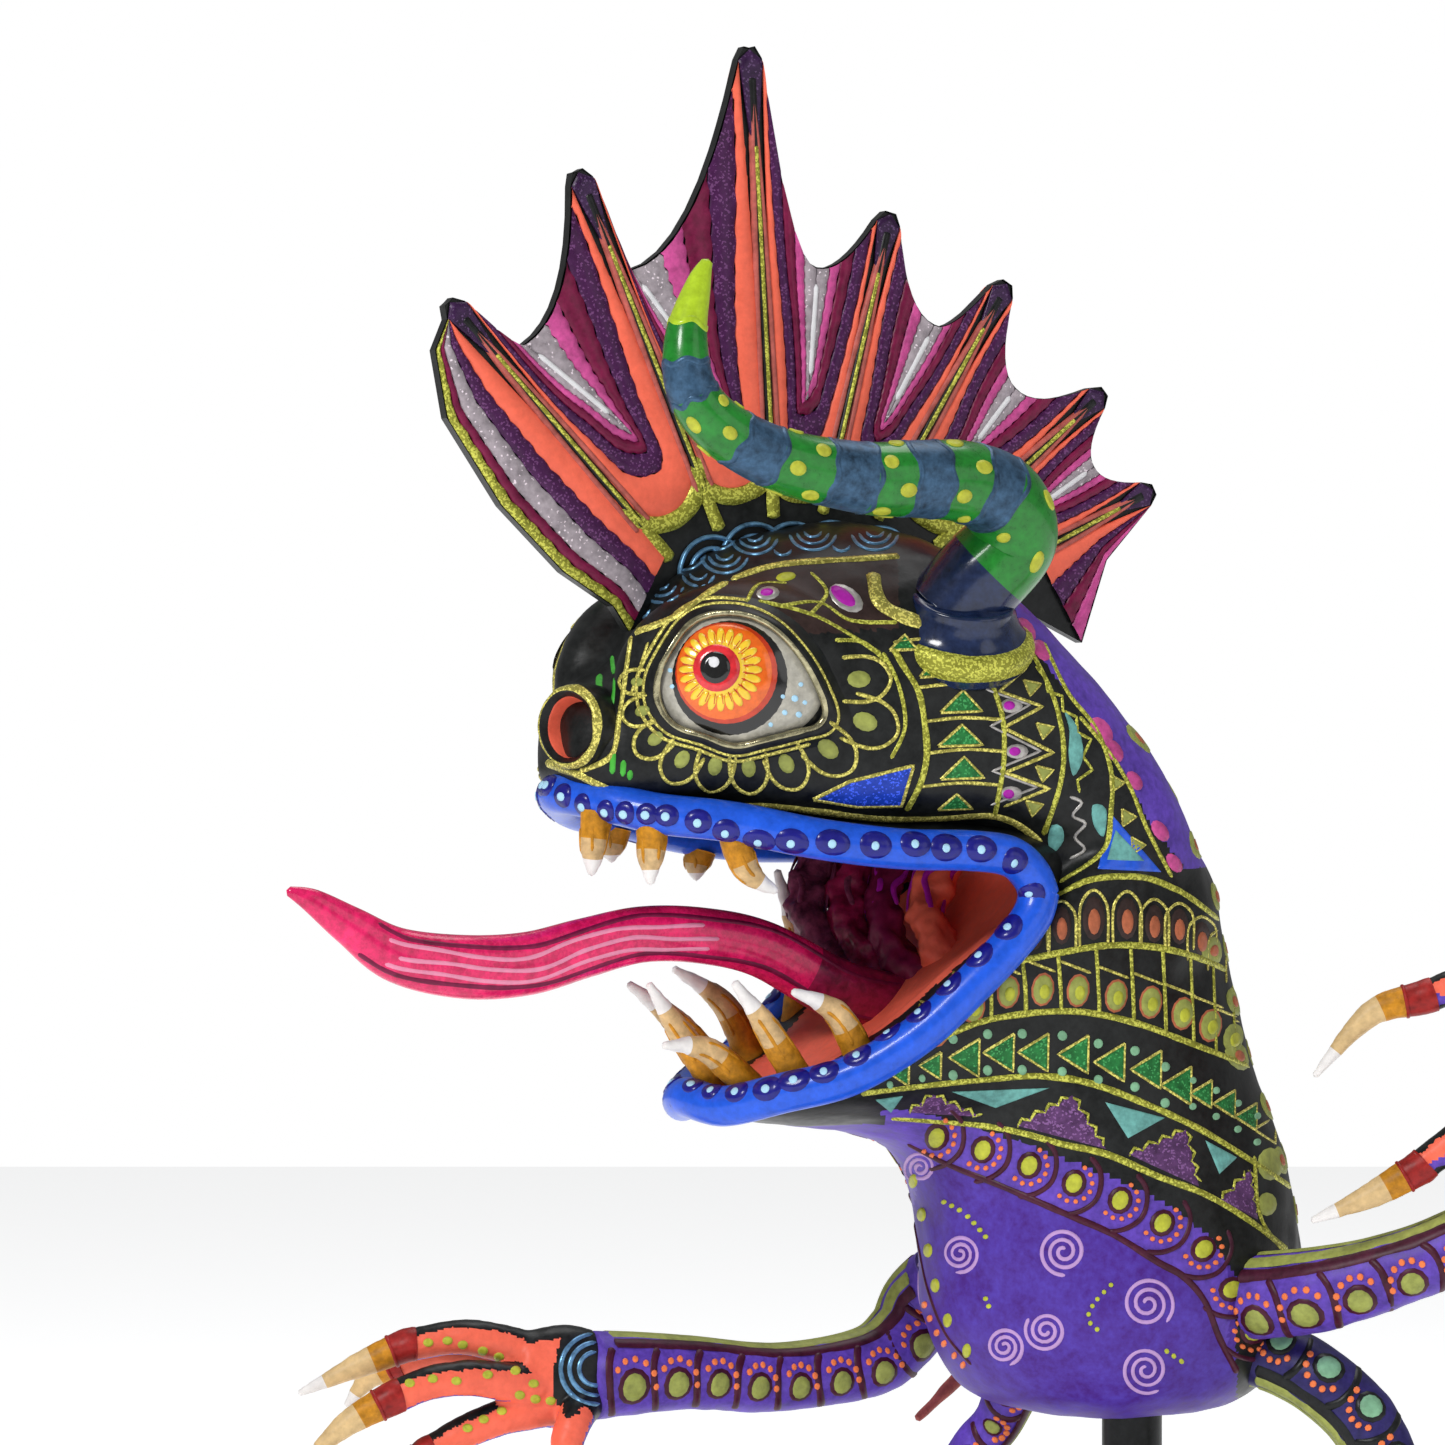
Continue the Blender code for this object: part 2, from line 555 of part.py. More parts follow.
def make_hand(label, palm, fingers, claws):
    """A palm with five fingers joined to it, and a claw on each finger."""
    hand = tube("hand_" + label, palm, "mouth coral", sides=12, flatten=0.62)
    for number, finger in enumerate(fingers, 1):
        path = smooth_path(finger, 1)
        tool = cutter(f"finger_{label}_{number}", tube_rings(path, 8))
        boolean(hand, tool, "UNION")
        end = Vector(finger[-1][:3])
        middle, tip = (Vector(point) for point in claws[number - 1])
        start = end + (end - Vector(finger[-2][:3])).normalized() * 2 * GAP
        path = [(*start, 3.7), (*middle, 2.7), (*tip, CLAW_TIP)]
        tube(f"claw_{label}_{number}", path, "claw cream", sides=7, per_span=2)


def make_foot(label, ankle):
    """A foot with three toes that rests on the base."""
    x, y = ankle
    sole = BASE_TOP + GAP
    heel = [(x, y, sole + height, radius) for height, radius in HEEL]
    foot = tube("foot_" + label, heel, "limb violet", sides=10)
    for number in (-1, 0, 1):
        aim = math.radians(FOOT_AIM + number * TOE_SPREAD)
        toe = []
        for step, (reach, height, radius) in enumerate(TOE):
            reach += TOE_STAGGER[0] * number if step == 0 else 0.0
            toe.append((x - math.cos(aim) * reach * TOE_LENGTH, y - math.sin(aim) * reach * TOE_LENGTH,
                        sole + height + TOE_STAGGER[1] * number, radius))
        tool = cutter(f"toe_{label}_{number + 2}", tube_rings(smooth_path(toe, 1), 8))
        boolean(foot, tool, "UNION")


def make_limbs():
    """Arms, hands, legs, feet and the tail."""
    pipe_and_wire("arm_right", ARM_RIGHT, "limb violet")
    pipe_and_wire("arm_left", ARM_LEFT, "limb violet")
    pipe_and_wire("leg_right", LEG_RIGHT, "limb violet")
    pipe_and_wire("leg_left", LEG_LEFT, "limb violet")
    make_hand("right", PALM_RIGHT, FINGERS_RIGHT, CLAWS_RIGHT)
    make_hand("left", PALM_LEFT, FINGERS_LEFT, CLAWS_LEFT)
    make_foot("right", FOOT_RIGHT)
    make_foot("left", FOOT_LEFT)
    tube("tail", TAIL, "limb violet", sides=8)


def main():
    """Build the stand, then the figure from the inside out."""
    clear_scene()
    make_stand()
    core = make_core()
    make_body()
    make_head(core)
    make_eyes()
    make_mouth()
    make_crest()
    make_horns()
    make_limbs()


main()
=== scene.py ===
import math

import bpy
from mathutils import Matrix, Vector, noise
from mathutils.bvhtree import BVHTree


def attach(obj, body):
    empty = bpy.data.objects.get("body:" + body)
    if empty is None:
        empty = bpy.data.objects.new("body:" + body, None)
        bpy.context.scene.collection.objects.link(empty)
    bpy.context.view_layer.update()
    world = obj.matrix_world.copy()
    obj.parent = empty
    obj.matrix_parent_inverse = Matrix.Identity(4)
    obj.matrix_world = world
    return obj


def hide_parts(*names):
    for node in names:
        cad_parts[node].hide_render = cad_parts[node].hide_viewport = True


# Looks of the alebrije. Tables are millimetres in the part's frame. The head is drawn in its own
# frame, as in the CAD: u along the head (the snout points to -u), v across it (-v is the near side)
# and z up, turned by HEAD_TURN about the vertical line at u = TURN_X.
# Patterns are drawn on the flat plane y = 0, in x and z, and laid on the surfaces along the lines
# from VIEW_POINT, then mirrored to the far side.

MM = 0.001
HEAD_TURN = 25.0
BODY_TURN = 50.0
TURN_X = -10.0
VIEW_POINT = Vector((-0.102, -1.5, 0.332))
LENS = 150.0

# How fine the paint's clouds, brush marks and glitter flakes are, per metre; how much of the mix of
# clouds and brush marks is brush marks; and how deep the relief is, in metres.
CLOUD_SCALE = 130.0
BRUSH_SCALE = 520.0
FLAKE_SCALE = 2300.0
BRUSH_SHARE = 0.45
FLAKE_SHARE = 0.45           # how much of a paint with the most glitter is flakes
RELIEF = 0.0004

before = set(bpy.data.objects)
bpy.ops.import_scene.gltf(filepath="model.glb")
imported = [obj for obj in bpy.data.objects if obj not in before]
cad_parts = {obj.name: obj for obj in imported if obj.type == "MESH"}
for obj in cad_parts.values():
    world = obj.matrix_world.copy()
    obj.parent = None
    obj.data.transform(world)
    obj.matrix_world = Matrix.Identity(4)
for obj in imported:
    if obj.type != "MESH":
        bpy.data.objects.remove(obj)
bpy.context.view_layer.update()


# ---------------------------------------------------------------- paint

def node(tree, kind, **values):
    """Add a shader node and set its inputs by name, with _ for a space: a number, or a socket to link."""
    made = tree.nodes.new(kind)
    for name, value in values.items():
        target = made.inputs[name.replace("_", " ")]
        if isinstance(value, bpy.types.NodeSocket):
            tree.links.new(value, target)
        else:
            target.default_value = value
    return made


def maths(tree, operation, value, number):
    """Add a node that works on a value and a number."""
    made = tree.nodes.new("ShaderNodeMath")
    made.operation = operation
    made.inputs[1].default_value = number
    tree.links.new(value, made.inputs[0])
    return made


def glitter_over(tree, where, surface, colour, glitter):
    """Scatter bright flakes over a colour: the new colour, and a height that differs by flake."""
    flakes = node(tree, "ShaderNodeTexVoronoi", Scale=FLAKE_SCALE, Vector=where)
    split = node(tree, "ShaderNodeSeparateColor", Color=flakes.outputs["Color"])
    chosen = maths(tree, "GREATER_THAN", split.outputs[0], 1 - FLAKE_SHARE * glitter)
    mixed = tree.nodes.new("ShaderNodeMix")
    mixed.data_type = "RGBA"
    bright = tuple(min(part * 2.2 + 0.035, 1.0) for part in colour)
    tree.links.new(chosen.outputs[0], mixed.inputs[0])
    tree.links.new(surface, mixed.inputs[6])
    mixed.inputs[7].default_value = (*bright, 1)
    return mixed.outputs[2], split.outputs[1]


def paint(name, colour, rough=0.42, metal=0.0, vary=0.25, bump=0.25, glitter=0.0, second=None, coat=0.0,
          shine=0.25):
    """A hand-painted finish: brushed colour, paper lumps and, where asked, glitter flakes."""
    made = bpy.data.materials.new(name)
    made.use_nodes = True
    tree = made.node_tree
    shader = tree.nodes["Principled BSDF"]
    for socket, value in (("Metallic", metal), ("Coat Weight", coat), ("Specular IOR Level", shine),
                          ("Coat Roughness", 0.12)):
        shader.inputs[socket].default_value = value
    where = tree.nodes.new("ShaderNodeTexCoord").outputs["Object"]
    cloud = node(tree, "ShaderNodeTexNoise", Scale=CLOUD_SCALE, Detail=4.0, Roughness=0.6, Vector=where)
    brush = node(tree, "ShaderNodeTexNoise", Scale=BRUSH_SCALE, Detail=3.0, Roughness=0.65, Vector=where)
    clouded = maths(tree, "MULTIPLY", cloud.outputs["Fac"], 1 - BRUSH_SHARE)
    blend = maths(tree, "MULTIPLY_ADD", brush.outputs["Fac"], BRUSH_SHARE)
    tree.links.new(clouded.outputs[0], blend.inputs[2])
    ramp = node(tree, "ShaderNodeValToRGB", Fac=blend.outputs[0])
    dark = tuple(part * (1 - vary) for part in colour)
    light = second or tuple(min(part * (1 + vary) + 0.012 * vary, 1.0) for part in colour)
    for element, place, shade in zip(ramp.color_ramp.elements, (0.32, 0.68), (dark, light)):
        element.position = place
        element.color = (*shade, 1)
    surface, height = ramp.outputs["Color"], blend.outputs[0]
    if glitter:
        surface, height = glitter_over(tree, where, surface, colour, glitter)
    gloss = node(tree, "ShaderNodeMapRange", To_Min=rough * 0.75, To_Max=min(rough * 1.35, 1.0),
                 Value=brush.outputs["Fac"])
    relief = node(tree, "ShaderNodeBump", Strength=bump, Distance=RELIEF, Height=height)
    for socket, source in (("Base Color", surface), ("Roughness", gloss.outputs[0]),
                           ("Normal", relief.outputs[0])):
        tree.links.new(source, shader.inputs[socket])
    return made


PAINTS = {
    "black": paint("black_paint", (0.007, 0.008, 0.008), rough=0.34, vary=0.5, shine=0.22),
    "gold": paint("gold_glitter", (0.38, 0.34, 0.07), rough=0.36, metal=0.35, glitter=0.8, bump=0.6),
    "olive": paint("olive_paint", (0.30, 0.33, 0.075), rough=0.45, vary=0.3),
    "olive_glitter": paint("olive_glitter", (0.27, 0.27, 0.03), rough=0.4, metal=0.3, glitter=0.9),
    "green": paint("green_glitter", (0.010, 0.145, 0.030), rough=0.5, vary=0.5, glitter=0.35),
    "bright_green": paint("bright_green", (0.06, 0.42, 0.04), rough=0.4),
    "teal": paint("teal_paint", (0.13, 0.36, 0.33), rough=0.5, vary=0.4),
    "pale_green": paint("pale_green", (0.20, 0.42, 0.25), rough=0.5),
    "plum": paint("plum_paint", (0.085, 0.028, 0.11), rough=0.5, vary=0.5, glitter=0.4),
    "magenta": paint("magenta_paint", (0.42, 0.01, 0.38), rough=0.4),
    "silver": paint("silver_paint", (0.42, 0.40, 0.38), rough=0.35, metal=0.5, vary=0.4),
    "rust": paint("rust_paint", (0.42, 0.115, 0.05), rough=0.5, vary=0.3),
    "brown": paint("brown_paint", (0.030, 0.014, 0.012), rough=0.45, vary=0.4),
    "royal": paint("royal_glitter", (0.008, 0.045, 0.42), rough=0.3, glitter=0.45),
    "steel_blue": paint("steel_blue", (0.13, 0.29, 0.47), rough=0.3, metal=0.55, vary=0.6),
    "lip": paint("lip_blue", (0.010, 0.095, 0.68), rough=0.3, vary=0.2, coat=0.3),
    "navy": paint("navy_paint", (0.006, 0.006, 0.20), rough=0.3, coat=0.3),
    "pale_blue": paint("pale_blue", (0.42, 0.70, 0.90), rough=0.4, vary=0.1),
    "coral": paint("coral_paint", (0.93, 0.15, 0.085), rough=0.4, vary=0.12, bump=0.4),
    # A dimmed copy of the coral: painted shade on the tail's end, which lies in shadow behind the body.
    "dull_coral": paint("dull_coral", (0.42, 0.10, 0.085), rough=0.45, vary=0.35),
    "salmon": paint("salmon_paint", (0.46, 0.105, 0.085), rough=0.42, vary=0.35),
    "dark_tip": paint("dark_tip", (0.030, 0.006, 0.045), rough=0.3, vary=0.5, glitter=0.25),
    # A near-black maroon used as painted shade inside the mouth: on its roof, under the lip ledges and on the deepest
    # folds.
    "throat": paint("throat_paint", (0.075, 0.010, 0.045), rough=0.38, vary=0.7,
                    second=(0.30, 0.05, 0.12), bump=0.6),
    "wine": paint("wine_paint", (0.17, 0.004, 0.045), rough=0.35, vary=0.35),
    "aubergine": paint("aubergine_glitter", (0.055, 0.006, 0.060), rough=0.36, glitter=0.35, bump=0.5),
    "pink": paint("pink_paint", (0.55, 0.07, 0.27), rough=0.38, vary=0.35),
    "grey": paint("grey_paint", (0.36, 0.31, 0.34), rough=0.38, vary=0.35, glitter=0.10),
    "white": paint("white_paint", (0.74, 0.74, 0.76), rough=0.4, vary=0.1),
    "violet": paint("violet_paint", (0.105, 0.048, 0.40), rough=0.42, vary=0.35),
    "belly": paint("belly_violet", (0.085, 0.012, 0.30), rough=0.45, vary=0.35, second=(0.085, 0.042, 0.40)),
    "night": paint("night_violet", (0.022, 0.016, 0.11), rough=0.42, vary=0.4),
    "lilac": paint("lilac_line", (0.50, 0.30, 0.60), rough=0.45, vary=0.1),
    "maroon": paint("maroon_paint", (0.055, 0.004, 0.020), rough=0.4, vary=0.4),
    "orange": paint("orange_paint", (0.88, 0.20, 0.06), rough=0.4, vary=0.15),
    "yellow_green": paint("yellow_green", (0.46, 0.48, 0.04), rough=0.4, vary=0.25),
    "horn": paint("horn_green", (0.008, 0.19, 0.016), rough=0.28, vary=0.3, coat=0.4),
    "horn_band": paint("horn_band", (0.035, 0.085, 0.155), rough=0.35, metal=0.3, vary=0.6),
    "horn_tip": paint("horn_tip", (0.42, 0.60, 0.02), rough=0.3, vary=0.2, coat=0.3),
    "collar": paint("horn_collar", (0.006, 0.016, 0.060), rough=0.20, vary=0.5, coat=0.5),
    "tongue": paint("tongue_pink", (0.76, 0.008, 0.115), rough=0.26, vary=0.4, coat=0.5, bump=0.5),
    # A darker copy of the tongue's pink: painted shade on the tongue's root deep in the mouth, also used on a throat
    # fold.
    "tongue_root": paint("tongue_root", (0.26, 0.004, 0.05), rough=0.3, vary=0.6, coat=0.4, bump=0.7),
    "tongue_line": paint("tongue_line", (0.80, 0.27, 0.42), rough=0.3, vary=0.1),
    "tooth": paint("tooth_cream", (0.60, 0.40, 0.19), rough=0.42, vary=0.3, bump=0.5),
    "ochre": paint("ochre_paint", (0.53, 0.22, 0.008), rough=0.45, vary=0.4, bump=0.7),
    "tip_white": paint("tip_white", (0.80, 0.77, 0.75), rough=0.45, vary=0.08, bump=0.4),
    "claw_red": paint("claw_red", (0.30, 0.012, 0.010), rough=0.4, vary=0.4),
    "claw_cream": paint("claw_cream", (0.66, 0.46, 0.22), rough=0.4, vary=0.2, bump=0.4),
    "sclera": paint("eye_pearl", (0.42, 0.40, 0.34), rough=0.25, vary=0.3, coat=0.6),
    "iris": paint("iris_orange", (0.86, 0.135, 0.006), rough=0.18, vary=0.25, coat=0.8),
    "iris_dark": paint("iris_dark", (0.55, 0.035, 0.004), rough=0.2, vary=0.2, coat=0.8),
    "iris_yellow": paint("iris_yellow", (0.88, 0.58, 0.03), rough=0.2, vary=0.1, coat=0.8),
    "iris_red": paint("iris_red", (0.68, 0.02, 0.03), rough=0.2, vary=0.35, coat=0.8),
    "eye_black": paint("eye_black", (0.006, 0.006, 0.006), rough=0.15, vary=0.3, coat=0.8),
    "lid": paint("lid_silver_gold", (0.36, 0.33, 0.20), rough=0.22, metal=0.8, vary=0.5, bump=0.6),
    "raw_paper": paint("raw_paper", (0.55, 0.46, 0.34), rough=0.85),
    "steel": paint("wire_steel", (0.5, 0.5, 0.5), rough=0.35, metal=1.0),
    "backdrop": paint("backdrop_paper", (0.86, 0.87, 0.88), rough=0.8, vary=0.02, bump=0.05),
    "felt": paint("green_felt", (0.02, 0.05, 0.025), rough=0.95, bump=0.9),
}


# ---------------------------------------------------------------- shapes

def mix(first, second, share):
    """A point part of the way from one to another."""
    return tuple(a + (b - a) * share for a, b in zip(first, second))


def place_at(centre, angle, reach):
    """The place at a distance in a direction from a centre."""
    return centre[0] + math.cos(angle) * reach, centre[1] + math.sin(angle) * reach


def clamp(value):
    """A share kept between none and all."""
    return min(max(value, 0.0), 1.0)


def turned(degrees):
    """The rotation by an angle about the upright axis."""
    return Matrix.Rotation(math.radians(degrees), 3, "Z")


def stand_in(thing, *names):
    """Show a piece in place of CAD nodes, on the same body as they are."""
    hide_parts(*names)
    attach(thing, "stand" if names[0] in ("base_disc", "support_post") else "figure")


def head_point(u, v, z):
    """A point of the head's own frame, in metres in the part's frame."""
    return (Vector((TURN_X, 0, 0)) + turned(HEAD_TURN) @ Vector((u - TURN_X, v, z))) * MM


def head_stop(u, v, z, radius):
    """A stop of a tube's path, from one in the head's own frame."""
    return (*(head_point(u, v, z) / MM), radius)


def add_mesh(name, points, faces, paints=("black",)):
    """Make a smooth-shaded object from points in metres."""
    mesh = bpy.data.meshes.new(name)
    mesh.from_pydata(points, [], faces)
    mesh.update()
    mesh.shade_smooth()
    for each in paints:
        mesh.materials.append(PAINTS[each])
    made = bpy.data.objects.new(name, mesh)
    bpy.context.scene.collection.objects.link(made)
    return made


def loft_faces(rows, count, caps=True):
    """Quads between rows of equal rings, with a cap at each end."""
    faces = []
    for row in range(rows - 1):
        for side in range(count):
            after = (side + 1) % count
            here = row * count
            there = here + count
            faces.append((here + side, there + side, there + after, here + after))
    if caps:
        faces.append(tuple(range(count)))
        end = (rows - 1) * count
        faces.append(tuple(reversed(range(end, end + count))))
    return faces


def sheet_faces(rows, count, closed=False):
    """Quads between rows of a sheet of paint; a closed sheet goes all the way round."""
    faces = []
    for row in range(rows - 1):
        for side in range(count if closed else count - 1):
            here = row * count + side
            after = row * count + (side + 1) % count
            faces.append((here, after, count + after, count + here))
    return faces


def spline(stations, step):
    """Catmull-Rom through stations (any length of tuple), sampled about every step."""
    path = []
    for index in range(len(stations) - 1):
        start = stations[index]
        end = stations[index + 1]
        before = stations[max(index - 1, 0)]
        after = stations[min(index + 2, len(stations) - 1)]
        steps = max(1, round(math.dist(start[:3], end[:3]) / step))
        for tick in range(steps):
            t = tick / steps
            row = []
            for a, b, c, d in zip(before, start, end, after):
                value = 2 * b + (c - a) * t + (2 * a - 5 * b + 4 * c - d) * t * t
                row.append((value + (3 * b - a - 3 * c + d) * t ** 3) / 2)
            path.append(tuple(row))
    path.append(tuple(stations[-1]))
    return path


def straight(route, step):
    """Points along the straight parts of a line, about every step."""
    path = []
    for start, end in zip(route, route[1:]):
        steps = max(1, round(math.dist(start, end) / step))
        path += [mix(start, end, tick / steps) for tick in range(steps)]
    return path + [route[-1]]


LOFT_SIDES = 56
LOFT_STEP = 3.0


def squircle(angle, half_a, half_b, power_low=2.0, power_high=2.0):
    """A point of an ellipse whose lower half may be squarer."""
    cosine, sine = math.cos(angle), math.sin(angle)
    power = power_low if sine < 0 else power_high
    across = math.copysign(abs(cosine) ** (2 / power), cosine)
    rise = math.copysign(abs(sine) ** (2 / power), sine)
    return half_a * across, half_b * rise


def station_loft(stations, power_low, power_high, middle):
    """A solid through upright sections of the head: u, bottom, top, half width."""
    points = []
    rows = spline(stations, LOFT_STEP)
    for u, bottom, top, half_width in rows:
        centre = bottom + (top - bottom) * middle
        for side in range(LOFT_SIDES):
            angle = math.tau * side / LOFT_SIDES
            below = math.sin(angle) < 0
            tall = centre - bottom if below else top - centre
            across, rise = squircle(angle, max(half_width, 0.3), max(tall, 0.3), power_low, power_high)
            points.append(head_point(u, across, centre + rise))
    return points, loft_faces(len(rows), LOFT_SIDES)


def tilted_loft(stations):
    """A solid through tilted sections of the body: x, y, z, tilt, turn, half depth, half width."""
    points = []
    rows = spline(stations, LOFT_STEP)
    for x, y, z, tilt, turn, half_depth, half_width in rows:
        lean = math.radians(tilt)
        spin = turned(turn)
        front = spin @ Vector((-math.cos(lean), 0, -math.sin(lean)))
        side_axis = spin @ Vector((0, 1, 0))
        for side in range(LOFT_SIDES):
            deep, wide = squircle(math.tau * side / LOFT_SIDES, half_depth, half_width)
            points.append((Vector((x, y, z)) + front * deep + side_axis * wide) * MM)
    return points, loft_faces(len(rows), LOFT_SIDES)


def joined(name, parts, paints=("black",)):
    """One mesh from several lists of points and faces."""
    points, faces = [], []
    for more_points, more_faces in parts:
        base = len(points)
        points += more_points
        faces += [tuple(base + corner for corner in face) for face in more_faces]
    return add_mesh(name, points, faces, paints)


def taken(things):
    """The points and faces of some objects, which are then removed."""
    parts = [([point.co.copy() for point in thing.data.vertices],
              [tuple(face.vertices) for face in thing.data.polygons]) for thing in things]
    for thing in things:
        bpy.data.objects.remove(thing, do_unlink=True)
    return parts


def repaint(thing, paints):
    """Give an object a new list of paints."""
    thing.data.materials.clear()
    for each in paints:
        thing.data.materials.append(PAINTS[each])


def settle(thing):
    """Apply an object's modifiers to its mesh."""
    depsgraph = bpy.context.evaluated_depsgraph_get()
    mesh = bpy.data.meshes.new_from_object(thing.evaluated_get(depsgraph), depsgraph=depsgraph)
    thing.modifiers.clear()
    thing.data = mesh
    mesh.shade_smooth()


def outward(thing):
    """Turn a closed mesh's faces out, by the sign of its volume."""
    volume = 0.0
    points = thing.data.vertices
    for face in thing.data.polygons:
        first = points[face.vertices[0]].co
        for second, third in zip(face.vertices[1:-1], face.vertices[2:]):
            volume += first.dot(points[second].co.cross(points[third].co))
    if volume < 0:
        thing.data.flip_normals()


def fuse(thing, voxel, smooth):
    """Melt overlapping solids into one skin."""
    melt = thing.modifiers.new("melt", "REMESH")
    melt.mode = "VOXEL"
    melt.voxel_size = voxel * MM
    soft = thing.modifiers.new("soft", "SMOOTH")
    soft.factor = 0.5
    soft.iterations = smooth
    settle(thing)


def lumps(thing, height, size):
    """Push a skin in and out a little, as layers of pasted paper do."""
    points = thing.data.vertices
    moves = []
    for point in points:
        value = noise.noise(point.co / (size * MM))
        value += 0.5 * noise.noise(point.co / (size * 0.4 * MM))
        moves.append(point.co + point.normal * (value * height * MM))
    for point, place in zip(points, moves):
        point.co = place


def spline_loop(route, step=0.6):
    """A smooth closed curve through points."""
    loop = [route[-1], *route, route[0], route[1]]
    dense = spline(loop, step)
    lead = max(1, round(math.dist(loop[0], loop[1]) / step))
    tail = max(1, round(math.dist(loop[-2], loop[-1]) / step))
    return dense[lead:len(dense) - tail]


class Tube:
    """A tapering tube along a smooth path, with paint in rings and places found by length and angle."""

    def __init__(self, name, stations, paints, bands=(), sides=28, step=0.9, flatten=1.0, up=(0, 0, 1)):
        rows = spline(stations, step)
        self.places = [Vector(row[:3]) for row in rows]
        self.radii = [row[3] for row in rows]
        self.flatten = flatten
        self.lengths = [0.0]
        for before, after in zip(self.places, self.places[1:]):
            self.lengths.append(self.lengths[-1] + (after - before).length)
        self.total = self.lengths[-1]
        self.axes = []
        side_axis = None
        for index in range(len(rows)):
            ahead = self.places[min(index + 1, len(rows) - 1)]
            behind = self.places[max(index - 1, 0)]
            along = (ahead - behind).normalized()
            if side_axis is None:
                side_axis = along.cross(Vector(up)).normalized()
            side_axis = (side_axis - along * side_axis.dot(along)).normalized()
            self.axes.append((along, side_axis, side_axis.cross(along)))
        points = []
        for index, place in enumerate(self.places):
            for side in range(sides):
                points.append(self.on(index, math.tau * side / sides)[0])
        tip = len(points)
        faces = loft_faces(len(rows), sides, caps=False)
        faces.append(tuple(reversed(range(sides))))
        faces = [tuple(reversed(face)) for face in faces]
        last = tip - sides
        crown = self.places[-1] + self.axes[-1][0] * self.radii[-1] * 0.6
        points.append(crown * MM)
        for side in range(sides):
            faces.append((last + side, last + (side + 1) % sides, tip))
        self.object = add_mesh(name, points, faces, paints)
        self.sides = sides
        self.paint_rings(bands)
        outward(self.object)

    def on(self, index, angle):
        """A surface point in metres and its outward direction, at a row of the path."""
        _, side_axis, rise = self.axes[index]
        radius = self.radii[index]
        flat = side_axis * math.cos(angle) * self.flatten + rise * math.sin(angle)
        out = side_axis * math.cos(angle) + rise * math.sin(angle) * self.flatten
        return (self.places[index] + flat * radius) * MM, out.normalized()

    def at(self, length, angle):
        """A surface point between rows, by length in millimetres and angle in degrees."""
        length = min(max(length, 0.0), self.total)
        index = 0
        while index < len(self.lengths) - 2 and self.lengths[index + 1] < length:
            index += 1
        part = (length - self.lengths[index]) / (self.lengths[index + 1] - self.lengths[index])
        first, out = self.on(index, math.radians(angle))
        second, out_two = self.on(index + 1, math.radians(angle))
        return first.lerp(second, part), out.lerp(out_two, part).normalized()

    def paint_rings(self, bands):
        """Give faces the paint of the band of length that they are in: (end share, paint number)."""
        for face in self.object.data.polygons:
            row = min(face.vertices[0] // self.sides, len(self.lengths) - 1)
            share = self.lengths[row] / self.total
            for end, number in bands:
                if share <= end:
                    face.material_index = number
                    break


# ---------------------------------------------------------------- decoration

layers = {}


def add_layer(name, points, faces):
    """Collect raised paint under one name and colour."""
    all_points, all_faces = layers.setdefault(name, ([], []))
    base = len(all_points)
    all_points += points
    all_faces += [tuple(base + corner for corner in face) for face in faces]


def reflect(place, turn):
    """Mirror a place in the upright plane through the turning line."""
    across = turned(turn) @ Vector((0, 1, 0))
    origin = Vector((TURN_X * MM, 0, 0))
    return place - across * (2 * (place - origin).dot(across))


def laid_on(tree, turn=None, barred=None, everywhere=False):
    """A surface that flat patterns in x and z land on, seen from VIEW_POINT or from its mirror image.

    The mirror image only paints what VIEW_POINT can't see, unless told to go everywhere. Faces in
    barred take no paint.
    """
    origin = VIEW_POINT if turn is None else reflect(VIEW_POINT, turn)

    def find(x, z):
        target = Vector((x, 0, z)) * MM
        if turn is not None:
            target = reflect(target, turn)
        place, normal, index, _ = tree.ray_cast(origin, (target - origin).normalized())
        if place is None or (barred and index in barred):
            return None
        if turn is not None and not everywhere:
            first = tree.ray_cast(VIEW_POINT, (place - VIEW_POINT).normalized())[0]
            if first is not None and (first - place).length < 1.5 * MM:
                return None
        return place, normal
    return find


def seen_from(tree, azimuth, centre):
    """A surface that patterns land on from a direction: across and up, in millimetres from a centre."""
    way = math.radians(azimuth)
    back = Vector((math.cos(way), math.sin(way), 0))
    across = Vector((-math.sin(way), math.cos(way), 0))
    middle = Vector(centre)

    def find(a, z):
        target = (middle + across * a) * MM
        target.z = z * MM
        origin = target + back
        place, normal, _, _ = tree.ray_cast(origin, -back)
        return None if place is None else (place, normal)
    return find


STROKE_STEP = 0.9
PROFILE = ((-0.5, -0.3), (-0.32, 0.75), (0.0, 1.0), (0.32, 0.75), (0.5, -0.3))


def stroke(surface, points, width, colour, height=0.22, closed=False, sharp=False):
    """A raised painted line along points of a surface."""
    if sharp:
        dense = straight([*points, points[0]] if closed else points, STROKE_STEP)
    elif closed:
        dense = spline_loop(points, STROKE_STEP)
    else:
        dense = spline(points, STROKE_STEP)
    runs = [[]]
    for point in dense:
        found = surface(*point)
        if found is None:
            if runs[-1]:
                runs.append([])
        else:
            runs[-1].append(found)
    for run in runs:
        pieces = [[run[0]]] if run else []
        for before, after in zip(run, run[1:]):
            if (after[0] - before[0]).length > 6 * STROKE_STEP * MM:
                pieces.append([])
            pieces[-1].append(after)
        for piece in pieces:
            ribbon(piece, width, height, colour, closed and len(pieces) == 1 and len(runs) == 1)


